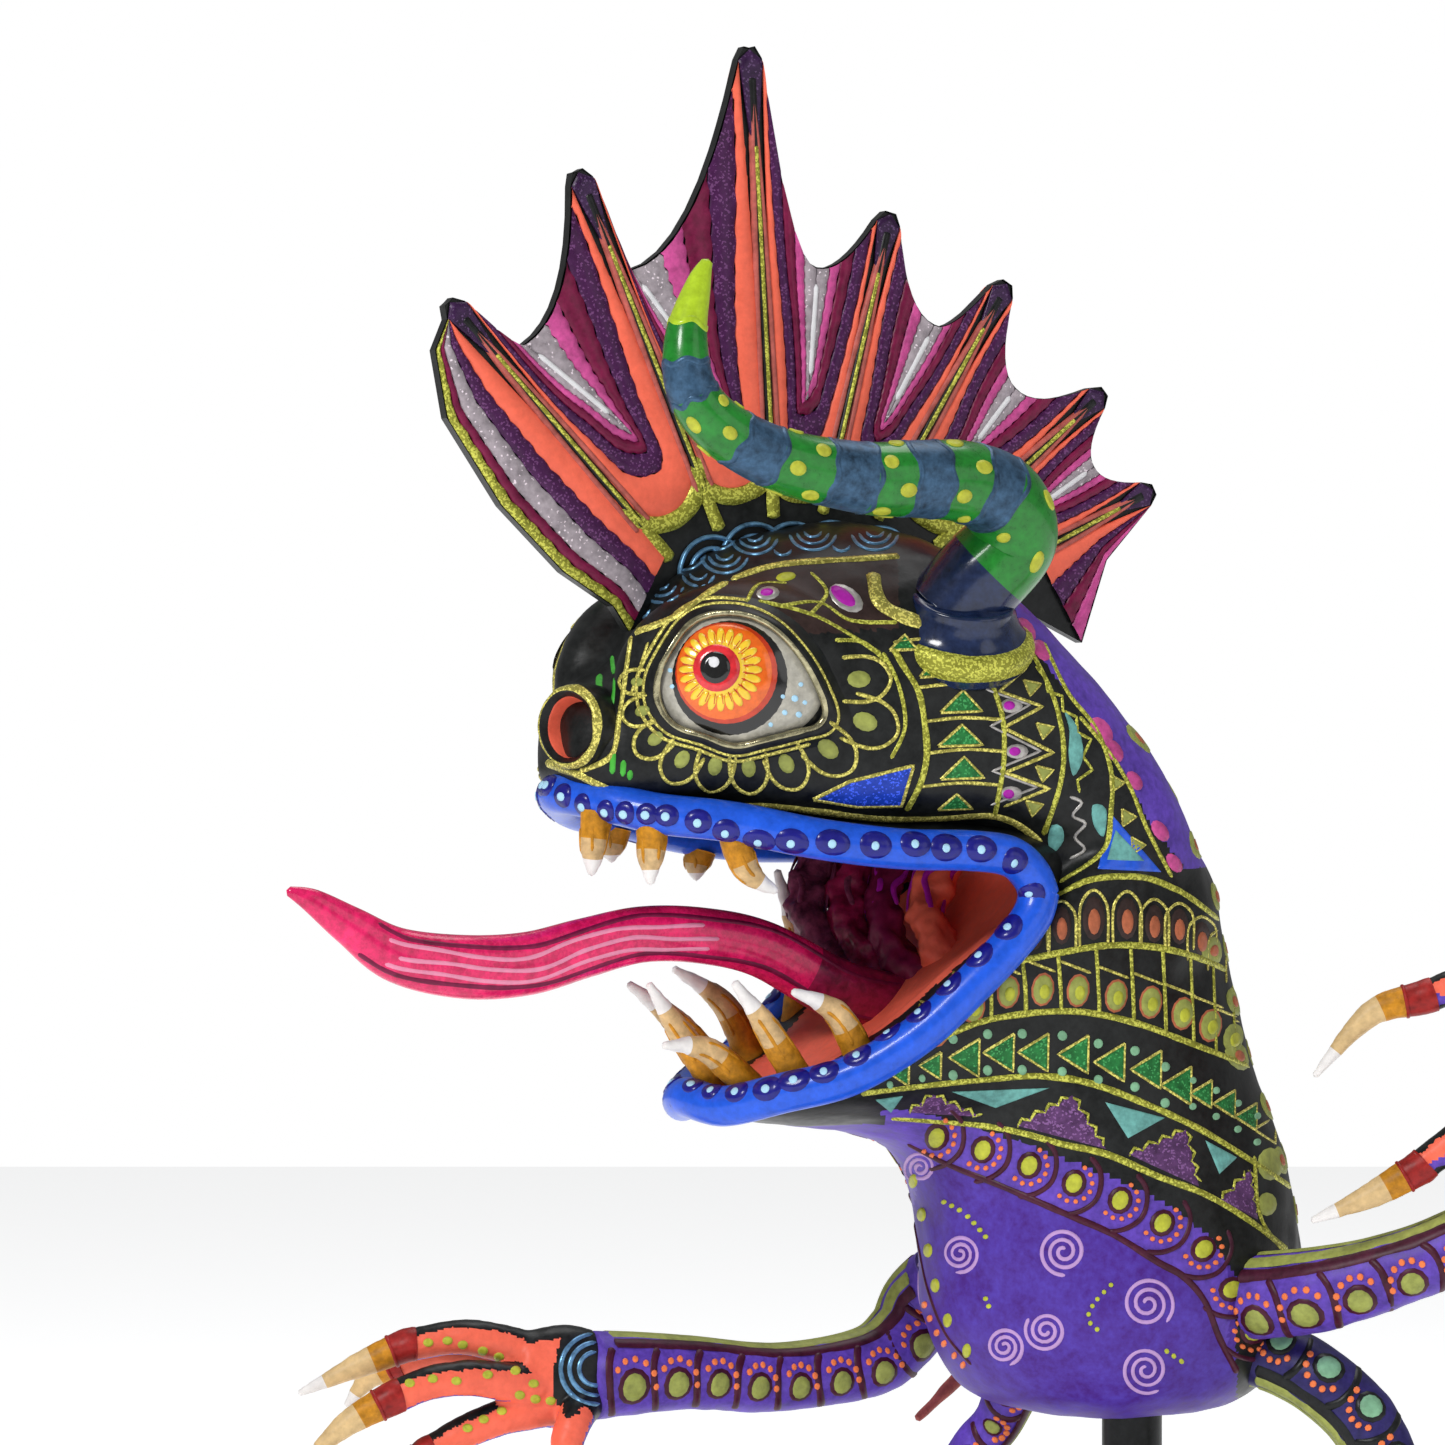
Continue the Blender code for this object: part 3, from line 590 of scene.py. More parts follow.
def ribbon(run, width, height, colour, closed):
    """The mesh of one unbroken painted line."""
    if len(run) < 2:
        return
    points = []
    last = len(run) - 1
    for index, (place, normal) in enumerate(run):
        ahead = run[min(index + 1, last)][0]
        behind = run[max(index - 1, 0)][0]
        along = ahead - behind
        if along.length < 1e-9:
            along = Vector((1, 0, 0))
        side = along.cross(normal).normalized()
        taper = 1.0 if closed else (0.35 if index in (0, last) else 1.0)
        wobble = 1 + 0.14 * noise.noise(place / (4 * MM))
        for offset, lift in PROFILE:
            shift = side * (offset * width * taper * wobble * MM)
            points.append(place + shift + normal * (lift * height * taper * MM))
    add_layer(colour, points, sheet_faces(len(run), len(PROFILE)))


def patch(surface, outline, colour, height=0.14, sharp=False, step=1.2):
    """A raised painted shape, filled from its outline to its middle."""
    edge = (straight([*outline, outline[0]], step) if sharp else spline_loop(outline, step))[:-1]
    middle = tuple(sum(values) / len(edge) for values in zip(*edge))
    size = max(math.dist(middle, point) for point in edge)
    rings = max(2, min(8, round(size / 1.6)))
    scales = [1.0, 0.93] + [0.9 * (rings - ring) / rings for ring in range(1, rings)]
    points = []
    count = len(edge)
    for number, scale in enumerate(scales):
        lift = -0.12 if number == 0 else height
        for point in edge:
            found = surface(*mix(middle, point, scale))
            if found is None:
                return
            points.append(found[0] + found[1] * (lift * MM))
    reach = max((points[side] - points[(side + 1) % count]).length for side in range(count))
    if reach > 7 * step * MM:
        return
    found = surface(*middle)
    if found is None:
        return
    points.append(found[0] + found[1] * (height * MM))
    faces = sheet_faces(len(scales), count, closed=True)
    inner = (len(scales) - 1) * count
    for side in range(count):
        faces.append((inner + side, inner + (side + 1) % count, len(points) - 1))
    add_layer(colour, points, faces)


def dot(surface, x, z, half_x, half_z, colour, tilt=0.0, height=0.2, count=12):
    """A round or oval dab of paint."""
    lean = math.radians(tilt)
    outline = []
    for tick in range(count):
        angle = math.tau * tick / count
        across, rise = half_x * math.cos(angle), half_z * math.sin(angle)
        outline.append((x + across * math.cos(lean) - rise * math.sin(lean),
                        z + across * math.sin(lean) + rise * math.cos(lean)))
    patch(surface, outline, colour, height, step=max(0.5, min(half_x, half_z) * 0.6))


def lathe(name, origin, axis, profile, paints, segments=64):
    """A turned piece: radius, height along the axis, and the paint number from that point on."""
    along = Vector(axis).normalized()
    steady = Vector((1, 0, 0)) if abs(along.z) > 0.9 else Vector((0, 0, 1))
    side_axis = along.cross(steady).normalized()
    rise = along.cross(side_axis)
    rows = spline([stop[:2] for stop in profile], 0.8)
    points, numbers = [], []
    for radius, height in rows:
        nearest = min(profile, key=lambda stop: math.dist(stop[:2], (radius, height)))
        numbers.append(nearest[2])
        for side in range(segments):
            angle = math.tau * side / segments
            reach = side_axis * math.cos(angle) + rise * math.sin(angle)
            points.append((Vector(origin) + along * height + reach * max(radius, 0.05)) * MM)
    made = add_mesh(name, points, loft_faces(len(rows), segments), paints)
    for face in made.data.polygons:
        row = min(face.vertices[0] // segments, len(numbers) - 1)
        face.material_index = numbers[row]
    outward(made)
    return made


def tree_of(*things):
    """A search tree over the faces of objects."""
    points, faces = [], []
    for thing in things:
        base = len(points)
        points += [point.co.copy() for point in thing.data.vertices]
        faces += [tuple(base + corner for corner in face.vertices) for face in thing.data.polygons]
    return BVHTree.FromPolygons(points, faces)


def wrapped(tube, angle):
    """A tube's surface by length along it and distance round it from an angle."""
    def find(length, around):
        radius = tube.radii[round(clamp(length / tube.total) * (len(tube.radii) - 1))]
        return tube.at(length, angle + math.degrees(around / radius))
    return find


def hoop(tube, length, width, colour, height=0.25, wave=0.0, waves=0):
    """A painted ring round a tube, straight or wavy."""
    run = []
    for tick in range(61):
        angle = 6.0 * tick
        run.append(tube.at(length + wave * math.sin(math.radians(waves * angle)), angle))
    ribbon(run, width, height, colour, True)


def ellipsoid(name, centre, axes, halves, colour):
    """A smooth ball with three axes, in millimetres."""
    points = []
    rows, sides = 36, 56
    for row in range(rows + 1):
        polar = math.pi * (0.01 + 0.98 * row / rows)
        for side in range(sides):
            angle = math.tau * side / sides
            spot = centre + axes[0] * (halves[0] * math.sin(polar) * math.cos(angle))
            spot = spot + axes[1] * (halves[1] * math.sin(polar) * math.sin(angle))
            spot = spot + axes[2] * (halves[2] * math.cos(polar))
            points.append(spot * MM)
    made = add_mesh(name, points, loft_faces(rows + 1, sides), (colour,))
    outward(made)
    return made


# ---------------------------------------------------------------- head and body

SKULL = [(-156, 317, 336, 12), (-150, 314.5, 341, 19), (-142, 313, 345, 24), (-136, 312, 351, 27),
         (-131, 311.5, 361, 30), (-124, 311, 368, 33), (-112, 308, 375, 37.5), (-98, 305, 379, 41),
         (-82, 304, 381, 44), (-66, 304, 379, 45.5), (-50, 302, 372, 46), (-36, 298, 361, 46),
         (-22, 290, 347, 45), (-10, 285, 333, 42), (0, 280, 318, 36), (8, 280, 303, 28)]
JAW = [(-121, 238.5, 243, 6), (-118, 236.5, 243.5, 13), (-108, 235.5, 244.5, 24.5), (-94, 234, 249, 34),
       (-78, 232, 260, 41), (-62, 226, 274.5, 45), (-46, 215, 288, 47), (-34, 205, 300, 47),
       (-20, 205, 310, 45)]
MOUTH = [(-135, 252, 300, 8), (-120, 245.5, 300, 10), (-108, 243, 300, 21), (-94, 246, 300, 30.5),
         (-78, 256, 300, 38), (-64, 268.5, 300, 41.5), (-54, 277, 300, 41.5), (-47, 284, 301, 41),
         (-42, 290, 300, 36), (-39, 293.5, 297, 26)]
TORSO = [(-6, -3, 161.5, 0, 50, 22, 22), (-6, -3, 163.5, 0, 50, 30, 30), (-6, -3, 167, 0, 50, 37, 36.5),
         (-6, -3, 173, 0, 50, 42, 41), (-6, -3, 186, 0, 50, 47.5, 46.5), (-6, -3, 202, 2, 46, 48.5, 47),
         (-9, -3.5, 220, 8, 40, 47.5, 46), (-16, -5, 238, 16, 32, 47, 45), (-24.5, -6.8, 257, 27, 25, 53, 44)]
NECK = [(-26.0, 257.6, 27.0, 53.0, 44.0), (-16.5, 280.0, 30.0, 36.5, 43.0), (-26.6, 303.0, 36.0, 27.0, 42.5),
        (-41.0, 324.0, 42.0, 29.0, 43.0)]
EYE_PLACE = (-122.4, 33.5, 342.0)
EYE_FORWARD = 22.0           # how far forward the eyes aim, in degrees
MOUND_HALVES = (30, 25, 13.6)
BALL_HALVES = (21.8, 17.8, 12.2)
NECK_TURN = 38.0
BORE_RADIUS = 9.9            # the hole in the belly for the post's sleeve


def turn_at(z):
    """How far the middle plane is turned at a height: the belly more than the head."""
    return HEAD_TURN + (BODY_TURN - HEAD_TURN) * clamp((290.0 - z) / 90.0)


def pattern_place(place):
    """Where a point of the skin falls on the pattern plane."""
    turn = turn_at(place.z / MM)
    across = turned(turn) @ Vector((0, 1, 0))
    aside = (place - Vector((TURN_X * MM, 0, 0))).dot(across)
    if aside > 0:
        place = reflect(place, turn)
    share = -VIEW_POINT.y / (place.y - VIEW_POINT.y)
    spot = VIEW_POINT + (place - VIEW_POINT) * share
    return spot.x / MM, spot.z / MM


def height_on(line, x):
    """The height of a line of points at x."""
    if x <= line[0][0]:
        return line[0][1]
    for start, end in zip(line, line[1:]):
        if x <= end[0]:
            return start[1] + (end[1] - start[1]) * (x - start[0]) / (end[0] - start[0])
    return line[-1][1]


BROW_LINE = [(-123.8, 354.5), (-113.9, 358.4), (-104, 365.3), (-94.1, 369.8), (-84.2, 371.8), (-68.4, 372.8),
             (-58, 373.5)]
BAND_A_TOP = [(-26, 284), (-17.5, 289.5), (-9.5, 293), (2.2, 293.5), (10.2, 290.8), (15.5, 287.7), (24, 281)]
BAND_A_END = [(-34, 270), (-31.8, 271.6), (-17.5, 274.7), (-5, 276.5), (8.4, 275.6), (20.9, 271.6), (30, 266)]
BAND_B_END = [(-67.5, 243.9), (-53.2, 250.2), (-40.7, 256.4), (-29.1, 259.1), (-13.9, 260), (0.4, 257.3),
              (12.9, 252.8), (26.3, 247.5), (36, 243)]
BAND_C_END = [(-67.5, 239.5), (-49.6, 241.7), (-36.2, 243), (-22.9, 243.9), (-10.4, 242.1), (3.9, 236.8),
              (17.3, 230.5), (28.9, 223.4), (40, 216)]
BAND_D_END = [(-60, 233.4), (-40.7, 231.9), (-29.1, 230.1), (-17.5, 227), (-5.9, 224.3), (6.6, 218.9),
              (18.2, 214.5), (28.9, 208.2), (38.8, 200.6)]
STRIP = [(-56, 230.5), (-48, 228.6), (-37.1, 225.6), (-26.4, 222), (-13.5, 216.9), (-0.7, 212), (10, 205.8),
         (18.9, 199.7), (26.3, 188.3), (30.7, 179.4)]
STRIP_END = [(-55.9, 227), (-45.2, 221.6), (-31.8, 216.2), (-17.5, 210), (-5, 204.6), (6.6, 197.5),
             (12.9, 193.9), (18.2, 187.7), (21.8, 178.7), (26.3, 170)]

SKIN_PAINTS = ("black", "belly", "coral", "throat", "brown", "violet", "olive")
BROW_FIELD_LOW = [(-118, 350), (-95, 359), (-60, 348)]
NAPE_LINE = [(296, 13), (305, 6), (330, -9), (350, -24), (364, -34)]


def skin_paint(place):
    """The ground colour of the skin at a point: its number in SKIN_PAINTS."""
    x, z = pattern_place(place)
    if z > 296 or x < -62:
        brow = height_on(BROW_LINE, x)
        if -118 < x < -58 and brow - 18 < z < brow and z > height_on(BROW_FIELD_LOW, x):
            return 4
        if x > height_on(NAPE_LINE, z):
            return 5
        return 0
    if x < 26 and z < height_on(STRIP, x) + 5:
        return 1 if z < height_on(STRIP_END, x) or x > 24 else 5
    return 0


def head_axes(side):
    """The eye's place and its axes: along the lids, up, and outwards."""
    aim = math.radians(EYE_FORWARD)
    spin = turned(HEAD_TURN)
    outwards = (spin @ Vector((-math.sin(aim), side * math.cos(aim), 0))).normalized()
    up = Vector((0, 0, 1))
    u, half_width, z = EYE_PLACE
    return head_point(u, side * half_width, z) / MM, up.cross(outwards).normalized(), up, outwards


def make_skin():
    """The papier-mache skin of head, jaw and body, with the mouth cut out of it."""
    neck = []
    for u, z, tilt, half_depth, half_width in NECK:
        place = head_point(u, 0, z) / MM
        neck.append((place.x, place.y, z, tilt, HEAD_TURN, half_depth, half_width))
    solids = [station_loft(SKULL, 3.4, 2.1, middle=0.36), station_loft(JAW, 2.0, 6.0, middle=0.92),
              tilted_loft(TORSO), tilted_loft(neck)]
    skin = joined("body_skin", solids, SKIN_PAINTS)
    mounds = []
    for side in (-1, 1):
        place, along, up, outwards = head_axes(side)
        middle = place - outwards * 8 + Vector((0, 0, -1))
        mounds.append(ellipsoid("mound", middle, (along, up, outwards), MOUND_HALVES, "black"))
    skin = joined("body_skin", taken([skin] + mounds), SKIN_PAINTS)
    fuse(skin, 1.8, 8)
    mouth = joined("mouth_tool", [station_loft(MOUTH, 2.4, 5.0, middle=0.9)])
    bore_rings = []
    for z in (150.0, 242.0):
        for tick in range(48):
            angle = math.tau * tick / 48
            bore_rings.append(Vector((math.cos(angle) * BORE_RADIUS, math.sin(angle) * BORE_RADIUS, z)) * MM)
    bore = add_mesh("bore_tool", bore_rings, loft_faces(2, 48))
    for tool in (mouth, bore):
        outward(tool)
        cut = skin.modifiers.new(tool.name, "BOOLEAN")
        cut.operation = "DIFFERENCE"
        cut.solver = "EXACT"
        cut.object = tool
    outward(skin)
    settle(skin)
    fuse(skin, 1.35, 3)
    lumps(skin, 0.55, 17)
    outward(skin)
    inside = tree_of(mouth)
    for thing in (mouth, bore):
        bpy.data.objects.remove(thing, do_unlink=True)
    repaint(skin, SKIN_PAINTS)
    paint_skin(skin, inside)
    stand_in(skin, "torso_shell", "head_shell", "lower_jaw")
    return skin


def paint_skin(skin, inside):
    """Give each face of the skin its ground colour; those on the mouth's cut are coral below and near-black above,
    where the roof of the mouth carries painted shade.
    """
    spin = turned(-HEAD_TURN)
    for face in skin.data.polygons:
        place = face.center
        _, _, _, gap = inside.find_nearest(place)
        u = (spin @ (place / MM - Vector((TURN_X, 0, 0)))).x + TURN_X
        z = place.z / MM
        # The roof of the mouth, from z 299 up, takes the dark throat paint: painted shade under the upper jaw.
        if gap < 1.7 * MM and -126 < u < -34 and 238 < z < 303.5:
            face.material_index = 2 if z < 299 else 3
        else:
            face.material_index = skin_paint(place)


# ---------------------------------------------------------------- pieces

EYE_OUTLINE = [(-114.9, 348.5), (-109.9, 355.5), (-104, 358.2), (-96.1, 357.9), (-89.2, 354.5), (-83.2, 348),
               (-79.3, 341.1), (-77.4, 335.2), (-79.3, 331.7), (-84.2, 330.3), (-92.1, 328.3), (-99.1, 327),
               (-106, 329.3), (-112.9, 331.7), (-116.9, 336.7), (-117.4, 342.6)]
EYE_MIDDLE = (-98.0, 342.5)


def eye_ring(share):
    """The eye's outline, grown from its middle."""
    return [mix(EYE_MIDDLE, spot, share) for spot in EYE_OUTLINE]


# The lid's rows, from the eye outwards: size of the outline, and height over what lies below.
LID_ROWS = ((1.0, -0.6), (1.01, 1.2), (1.05, 2.3), (1.11, 2.7), (1.17, 2.2), (1.23, 1.2), (1.30, 0.5), (1.42, -0.5))
LID_SPOTS = 110
PEARLS = ((-84, 338, 0.9), (-86.5, 334.5, 0.7), (-83, 334, 0.8), (-87, 338.5, 0.6), (-81.5, 337, 0.6),
          (-90, 331.5, 0.6), (-82.5, 341.5, 0.6), (-115, 345, 0.6), (-114.5, 341, 0.6))


def paint_iris(surface):
    """The iris: an orange disc with rays, yellow dabs, a red middle, a black pupil and a white painted highlight on
    it.
    """
    dot(surface, -100.2, 343.1, 15.0, 14.9, "eye_black", height=0.12, count=40)
    dot(surface, -101, 344.3, 13.2, 13.1, "iris_dark", height=0.3, count=40)
    dot(surface, -101.5, 344.6, 12.4, 12.4, "iris", height=0.45, count=40)
    for tick in range(24):
        angle = math.tau * tick / 24
        spot = (-102.4 + 8.1 * math.cos(angle), 345.1 + 8.1 * math.sin(angle))
        dot(surface, *spot, 2.3, 1.02, "iris_yellow", tilt=math.degrees(angle), height=0.62)
    dot(surface, -103.1, 345.4, 7.2, 7.2, "iris_yellow", height=0.58, count=32)
    for tick in range(24):
        angle = math.tau * (tick + 0.5) / 24
        ray = [(-102.9 + size * math.cos(angle), 345.3 + size * math.sin(angle)) for size in (5.4, 7.4, 9.4)]
        stroke(surface, ray, 0.5, "iris_dark", height=0.75)
    dot(surface, -103.4, 345.5, 6.1, 6.1, "iris_red", height=0.78, count=32)
    dot(surface, -103.7, 345.6, 3.9, 4.1, "eye_black", height=0.95, count=24)
    # Painted highlight: a white dab on the pupil stands in for a shine of light on the eye.
    dot(surface, -104, 346.9, 1.4, 1.4, "white", height=1.15)
    for x, z, size in PEARLS:
        dot(surface, x, z, size, size, "pale_blue", height=0.2, count=8)


def make_lid(name, surface, outwards):
    """The rolled rim round an eye, laid on the eyeball and the skin."""
    points = []
    for share, lift in LID_ROWS:
        for spot in resample(spline_loop(eye_ring(share)), LID_SPOTS)[:-1]:
            points.append(surface(*spot)[0] + outwards * (lift * MM))
    return add_mesh(name, points, sheet_faces(len(LID_ROWS), LID_SPOTS, closed=True), ("black",))


def make_eyes(skin):
    """Eyeballs with painted irises, and the thick rolled lids round them."""
    lids = []
    for side, label in ((-1, "left"), (1, "right")):
        place, along, up, outwards = head_axes(side)
        middle = place - outwards * 2.5
        ball = ellipsoid("eyeball_" + label, middle, (along, up, outwards), BALL_HALVES, "sclera")
        stand_in(ball, "eye_" + label)
        turn = None if side < 0 else HEAD_TURN
        paint_iris(laid_on(tree_of(ball), turn, everywhere=True))
        lid = make_lid("lid_rim_" + label, laid_on(tree_of(skin, ball), turn, everywhere=True), outwards)
        if side > 0:
            lid.data.flip_normals()
        stand_in(lid, "lid_" + label)
        rim = laid_on(tree_of(lid, skin), turn, everywhere=True)
        stroke(rim, eye_ring(1.045), 1.7, "lid", height=0.5, closed=True)
        stroke(rim, eye_ring(1.21), 1.0, "gold", height=0.35, closed=True)
        stroke(rim, eye_ring(1.30)[9:] + eye_ring(1.30)[:4], 1.3, "gold", height=0.35)
        lids.append(lid)
    return lids


def make_nostrils():
    """Flared nostrils; the far one sits farther back."""
    spin = turned(HEAD_TURN)
    for side, label, u, aside in ((-1, "left", -157.5, 11.5), (1, "right", -150.5, 9.0)):
        start = head_point(u, side * aside, 331) / MM
        aim = (spin @ Vector((-0.90, side * 0.40, 0.02))).normalized()
        profile = [(6.5, -22, 0), (8.2, -17, 0), (10.2, -10, 0), (10.6, -6, 0), (10.2, -2.0, 0), (9.9, -0.8, 1),
                   (9.3, 0.4, 1), (8.7, 0.4, 0), (7.9, -0.6, 0), (7.3, -1.2, 2), (6.6, -4, 2), (5.2, -7, 3),
                   (0.3, -8.0, 3)]
        cup = lathe("nostril_cup_" + label, start, aim, profile, ("black", "gold", "coral", "claw_red"), 48)
        lumps(cup, 0.5, 7)
        stand_in(cup, "nostril_" + label)


UPPER_LIP = [(-154, 0, 315), (-149, 12, 313.5), (-139.5, 23, 310.5), (-124, 32, 308.5), (-105, 39.5, 304.5),
             (-85, 43.5, 302), (-68, 45.5, 301.5), (-57, 45.5, 300), (-51, 45, 295.5), (-48.5, 44.5, 290.5)]
LOWER_LIP = [(-120.5, 0, 241.5), (-116.5, 12, 240), (-107, 24, 243.5), (-93, 33, 248), (-78, 40, 258),
             (-65, 44, 270.5), (-56, 45.2, 279.5), (-50.5, 45, 286), (-48.5, 44.5, 291.5)]
LIP_RADIUS = 4.9
# The ledge's section: how far in from the lip, how far up, and how far down for its thickness.
LEDGE_SECTION = ((0, 0, 0), (8, 5, 0), (16, 8.5, 0), (26, 10, 0), (26, 10, 2), (16, 8.5, 2), (8, 5, 2), (0, 0, 2))


def make_ledges():
    """The ledge of paper between the upper lip and the head, round to the corner of the mouth."""
    rows = spline(UPPER_LIP + LOWER_LIP[-2:-3:-1], 2.0)
    for side, label in ((-1, "left"), (1, "right")):
        points = []
        for u, width, z in rows:
            corner = clamp((u + 66) / 14)
            scale = min(1, width / 30)
            for reach, rise, thick in LEDGE_SECTION:
                step = reach * scale
                points.append(head_point(u + step * 0.85 * corner, side * (width - step * (1 - 0.45 * corner)),
                                         z + rise * scale * (1 - 0.4 * corner) - thick))
        ledge = add_mesh("lip_ledge_" + label, points, loft_faces(len(rows), len(LEDGE_SECTION)),
                         ("black", "throat"))
        outward(ledge)
        # Faces that look downwards take the dark throat paint: painted shade under the ledge.
        for face in ledge.data.polygons:
            face.material_index = 1 if face.normal.z < -0.3 else 0
        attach(ledge, "figure")


def make_lips():
    """Rolled blue lips with navy ovals."""
    made = []
    for name, line in (("upper_lip", UPPER_LIP), ("lower_lip", LOWER_LIP)):
        near = [head_stop(u, -width, z, LIP_RADIUS) for u, width, z in line]
        far = [head_stop(u, width, z, LIP_RADIUS) for u, width, z in line[1:]]
        roll = Tube(name + "_roll", near[::-1] + far, ("lip",), sides=24)
        stand_in(roll.object, name)
        made.append(roll)
    make_ledges()
    return made


TONGUE = [(-50, 261, 6.5), (-58, 262, 7), (-70, 264, 7.5), (-82, 267.5, 7.5), (-101, 277, 7), (-117, 280.5, 6.8),
          (-133, 281, 6.8), (-148, 278, 7.2), (-163, 274.5, 7.6), (-179, 274, 7.6), (-196, 277, 6.6),
          (-208, 284, 4.8), (-217.5, 290, 3), (-223.5, 292.5, 1.2)]


def make_tongue():
    """The long curled tongue."""
    path = [head_stop(u, 0, z, half) for u, z, half in TONGUE]
    # The first 22% of the tongue, deep in the mouth, takes the darker pink as painted shade.
    tongue = Tube("tongue_body", path, ("tongue_root", "tongue"), bands=((0.22, 0), (1.0, 1)), sides=36, flatten=0.72)
    stand_in(tongue.object, "tongue")
    for angle in (0, 180):
        surface = wrapped(tongue, angle)
        for start, rise in ((70, 3.2), (68, 0.4), (72, -2.6)):
            wave = [(start + 12 * tick, rise + 0.9 * math.sin(tick * 1.9)) for tick in range(8)]
            stroke(surface, wave, 1.1, "tongue_line")
        for offset in (5.2, -5.0):
            line = [(16 + 9 * tick, offset + 0.5 * math.sin(tick * 1.3)) for tick in range(17)]
            stroke(surface, line, 1.3, "wine")


FOLDS = (
    [(-66, 34, 303, 6), (-73, 30, 293, 5.5), (-77, 24, 284, 5), (-74, 16, 274, 5.5), (-68, 8, 265, 6)],
    [(-58, 26, 303, 6), (-66, 22, 292, 5.5), (-70, 16, 282, 5), (-68, 9, 272, 5), (-62, 3, 263, 6)],
    [(-50, 19, 303, 5.5), (-59, 15, 293, 5), (-63, 9, 283, 4.6), (-62, 2, 273, 5), (-56, -4, 265, 6)],
    [(-44, 8, 302, 5.5), (-52, 6, 292, 5), (-56, 0, 283, 4.6), (-55, -6, 275, 5), (-50, -12, 268, 6)],
)


def make_throat():
    """Wrinkled folds at the back of the mouth, painted darker the deeper they lie as painted shade, and the wad of
    paper inside the head.
    """
    # The folds' paint runs from near-black on the deepest fold to coral on the one by the cheek: painted shade that
    # deepens towards the back of the mouth, over its red paint. The marks on the two deepest folds are dark for the
    # same reason.
    for number, (fold, colour) in enumerate(zip(FOLDS, ("throat", "tongue_root", "wine", "coral")), 1):
        tube = Tube(f"throat_fold_{number}", [head_stop(*stop) for stop in fold], (colour,), sides=30,
                    up=(0.3, 1, 0.1))
        lumps(tube.object, 2.2, 6)
        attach(tube.object, "figure")
        for angle in range(30 * number, 360, 72):
            surface = wrapped(tube, angle)
            line = [(4 + 5 * tick, 1.3 * math.sin(tick * 2.1 + angle)) for tick in range(5)]
            stroke(surface, line, 1.6, "magenta" if number > 2 else "throat", height=0.3)
    wad = [(-20, 0, 262, 20), (-18, 0, 290, 19), (-30, 0, 320, 18), (-55, 0, 340, 19), (-82, 0, 344, 19)]
    core = Tube("head_wad", [head_stop(*stop) for stop in wad], ("raw_paper",), step=3)
    lumps(core.object, 1.5, 8)
    stand_in(core.object, "head_core")


UPPER_TEETH = [
    [(-150, -12, 311), (-151, -12, 302), (-151, -11, 296)],
    [(-140, -22, 308), (-141, -23, 300), (-141, -23, 294)],
    [(-123, -31, 306), (-120, -32, 297), (-113, -33, 292)],
    [(-127, 29, 306), (-128, 29, 301), (-128, 29, 298)],
    [(-99, 40, 300), (-100, 40, 296), (-100, 40, 293)],
]
LOWER_TEETH = [
    [(-113, -1, 244), (-123, -1, 257), (-132, -2, 269)],
    [(-109, -10.5, 244), (-121, -12, 253.5), (-133, -13, 255)],
    [(-100, -20, 245), (-110, -22, 259), (-119, -23, 270)],
    [(-86, -27, 248), (-94, -28, 262), (-106, -28, 268)],
    [(-78, 30, 252), (-76, 31, 274), (-82, 31, 295)],
    [(-92, 23, 246), (-99, 25, 262), (-113, 25, 271.5)],
    [(-105, 13, 245), (-118, 12.5, 259), (-131, 12, 268.5)],
]


TOOTH_SIZES = (4.0, 3.1, 0.9)


def make_teeth():
    """Teeth with ochre roots and white tips."""
    for row, teeth in (("upper", UPPER_TEETH), ("lower", LOWER_TEETH)):
        for number, stops in enumerate(teeth, 1):
            path = [head_stop(*stop, size) for stop, size in zip(stops, TOOTH_SIZES)]
            tooth = Tube(f"tooth_{row}_{number}_cone", path, ("ochre", "tooth", "tip_white"),
                         bands=((0.42, 0), (0.74, 1), (1.0, 2)), sides=22, step=0.6)
            lumps(tooth.object, 0.25, 3.0)
            stand_in(tooth.object, f"tooth_{row}_{number}")
            for mark in range(5):
                streak = [(tooth.total * 0.30, 0.0), (tooth.total * (0.62 + 0.06 * (mark % 2)), 0.3)]
                stroke(wrapped(tooth, 72 * mark), streak, 0.9, "ochre")


HORN = [(-66, 33.5, 358.5, 12), (-61, 38, 367, 11.5), (-55, 43, 376, 10.8), (-60, 47.5, 385, 10.4),
        (-71, 50, 389, 9.8), (-85, 52, 389.5, 9.2), (-100, 53, 389.5, 8.5), (-121, 54, 393, 7.5),
        (-137, 55, 400, 6.7), (-145, 55, 409, 6), (-146, 54, 421, 5), (-142, 52, 433.5, 3), (-139.5, 51.5, 439, 1.4)]
# The far horn's tip curls lower, behind the crest.
FAR_TIP = [(-143.5, 54.5, 415, 5), (-137, 52.5, 419, 3.4), (-130, 51.5, 421, 1.4)]
# Where each band ends, as a share of the horn's length, and the number of its paint.
HORN_BANDS = ((0.085, 0), (0.235, 1), (0.285, 2), (0.355, 1), (0.41, 2), (0.475, 1), (0.545, 2), (0.635, 1),
              (0.70, 2), (0.79, 1), (0.84, 2), (0.895, 1), (1.0, 3))

# The green stretches, which carry yellow dots.
HORN_DOTTED = ((0.10, 0.235), (0.285, 0.355), (0.41, 0.475), (0.545, 0.635), (0.70, 0.79))


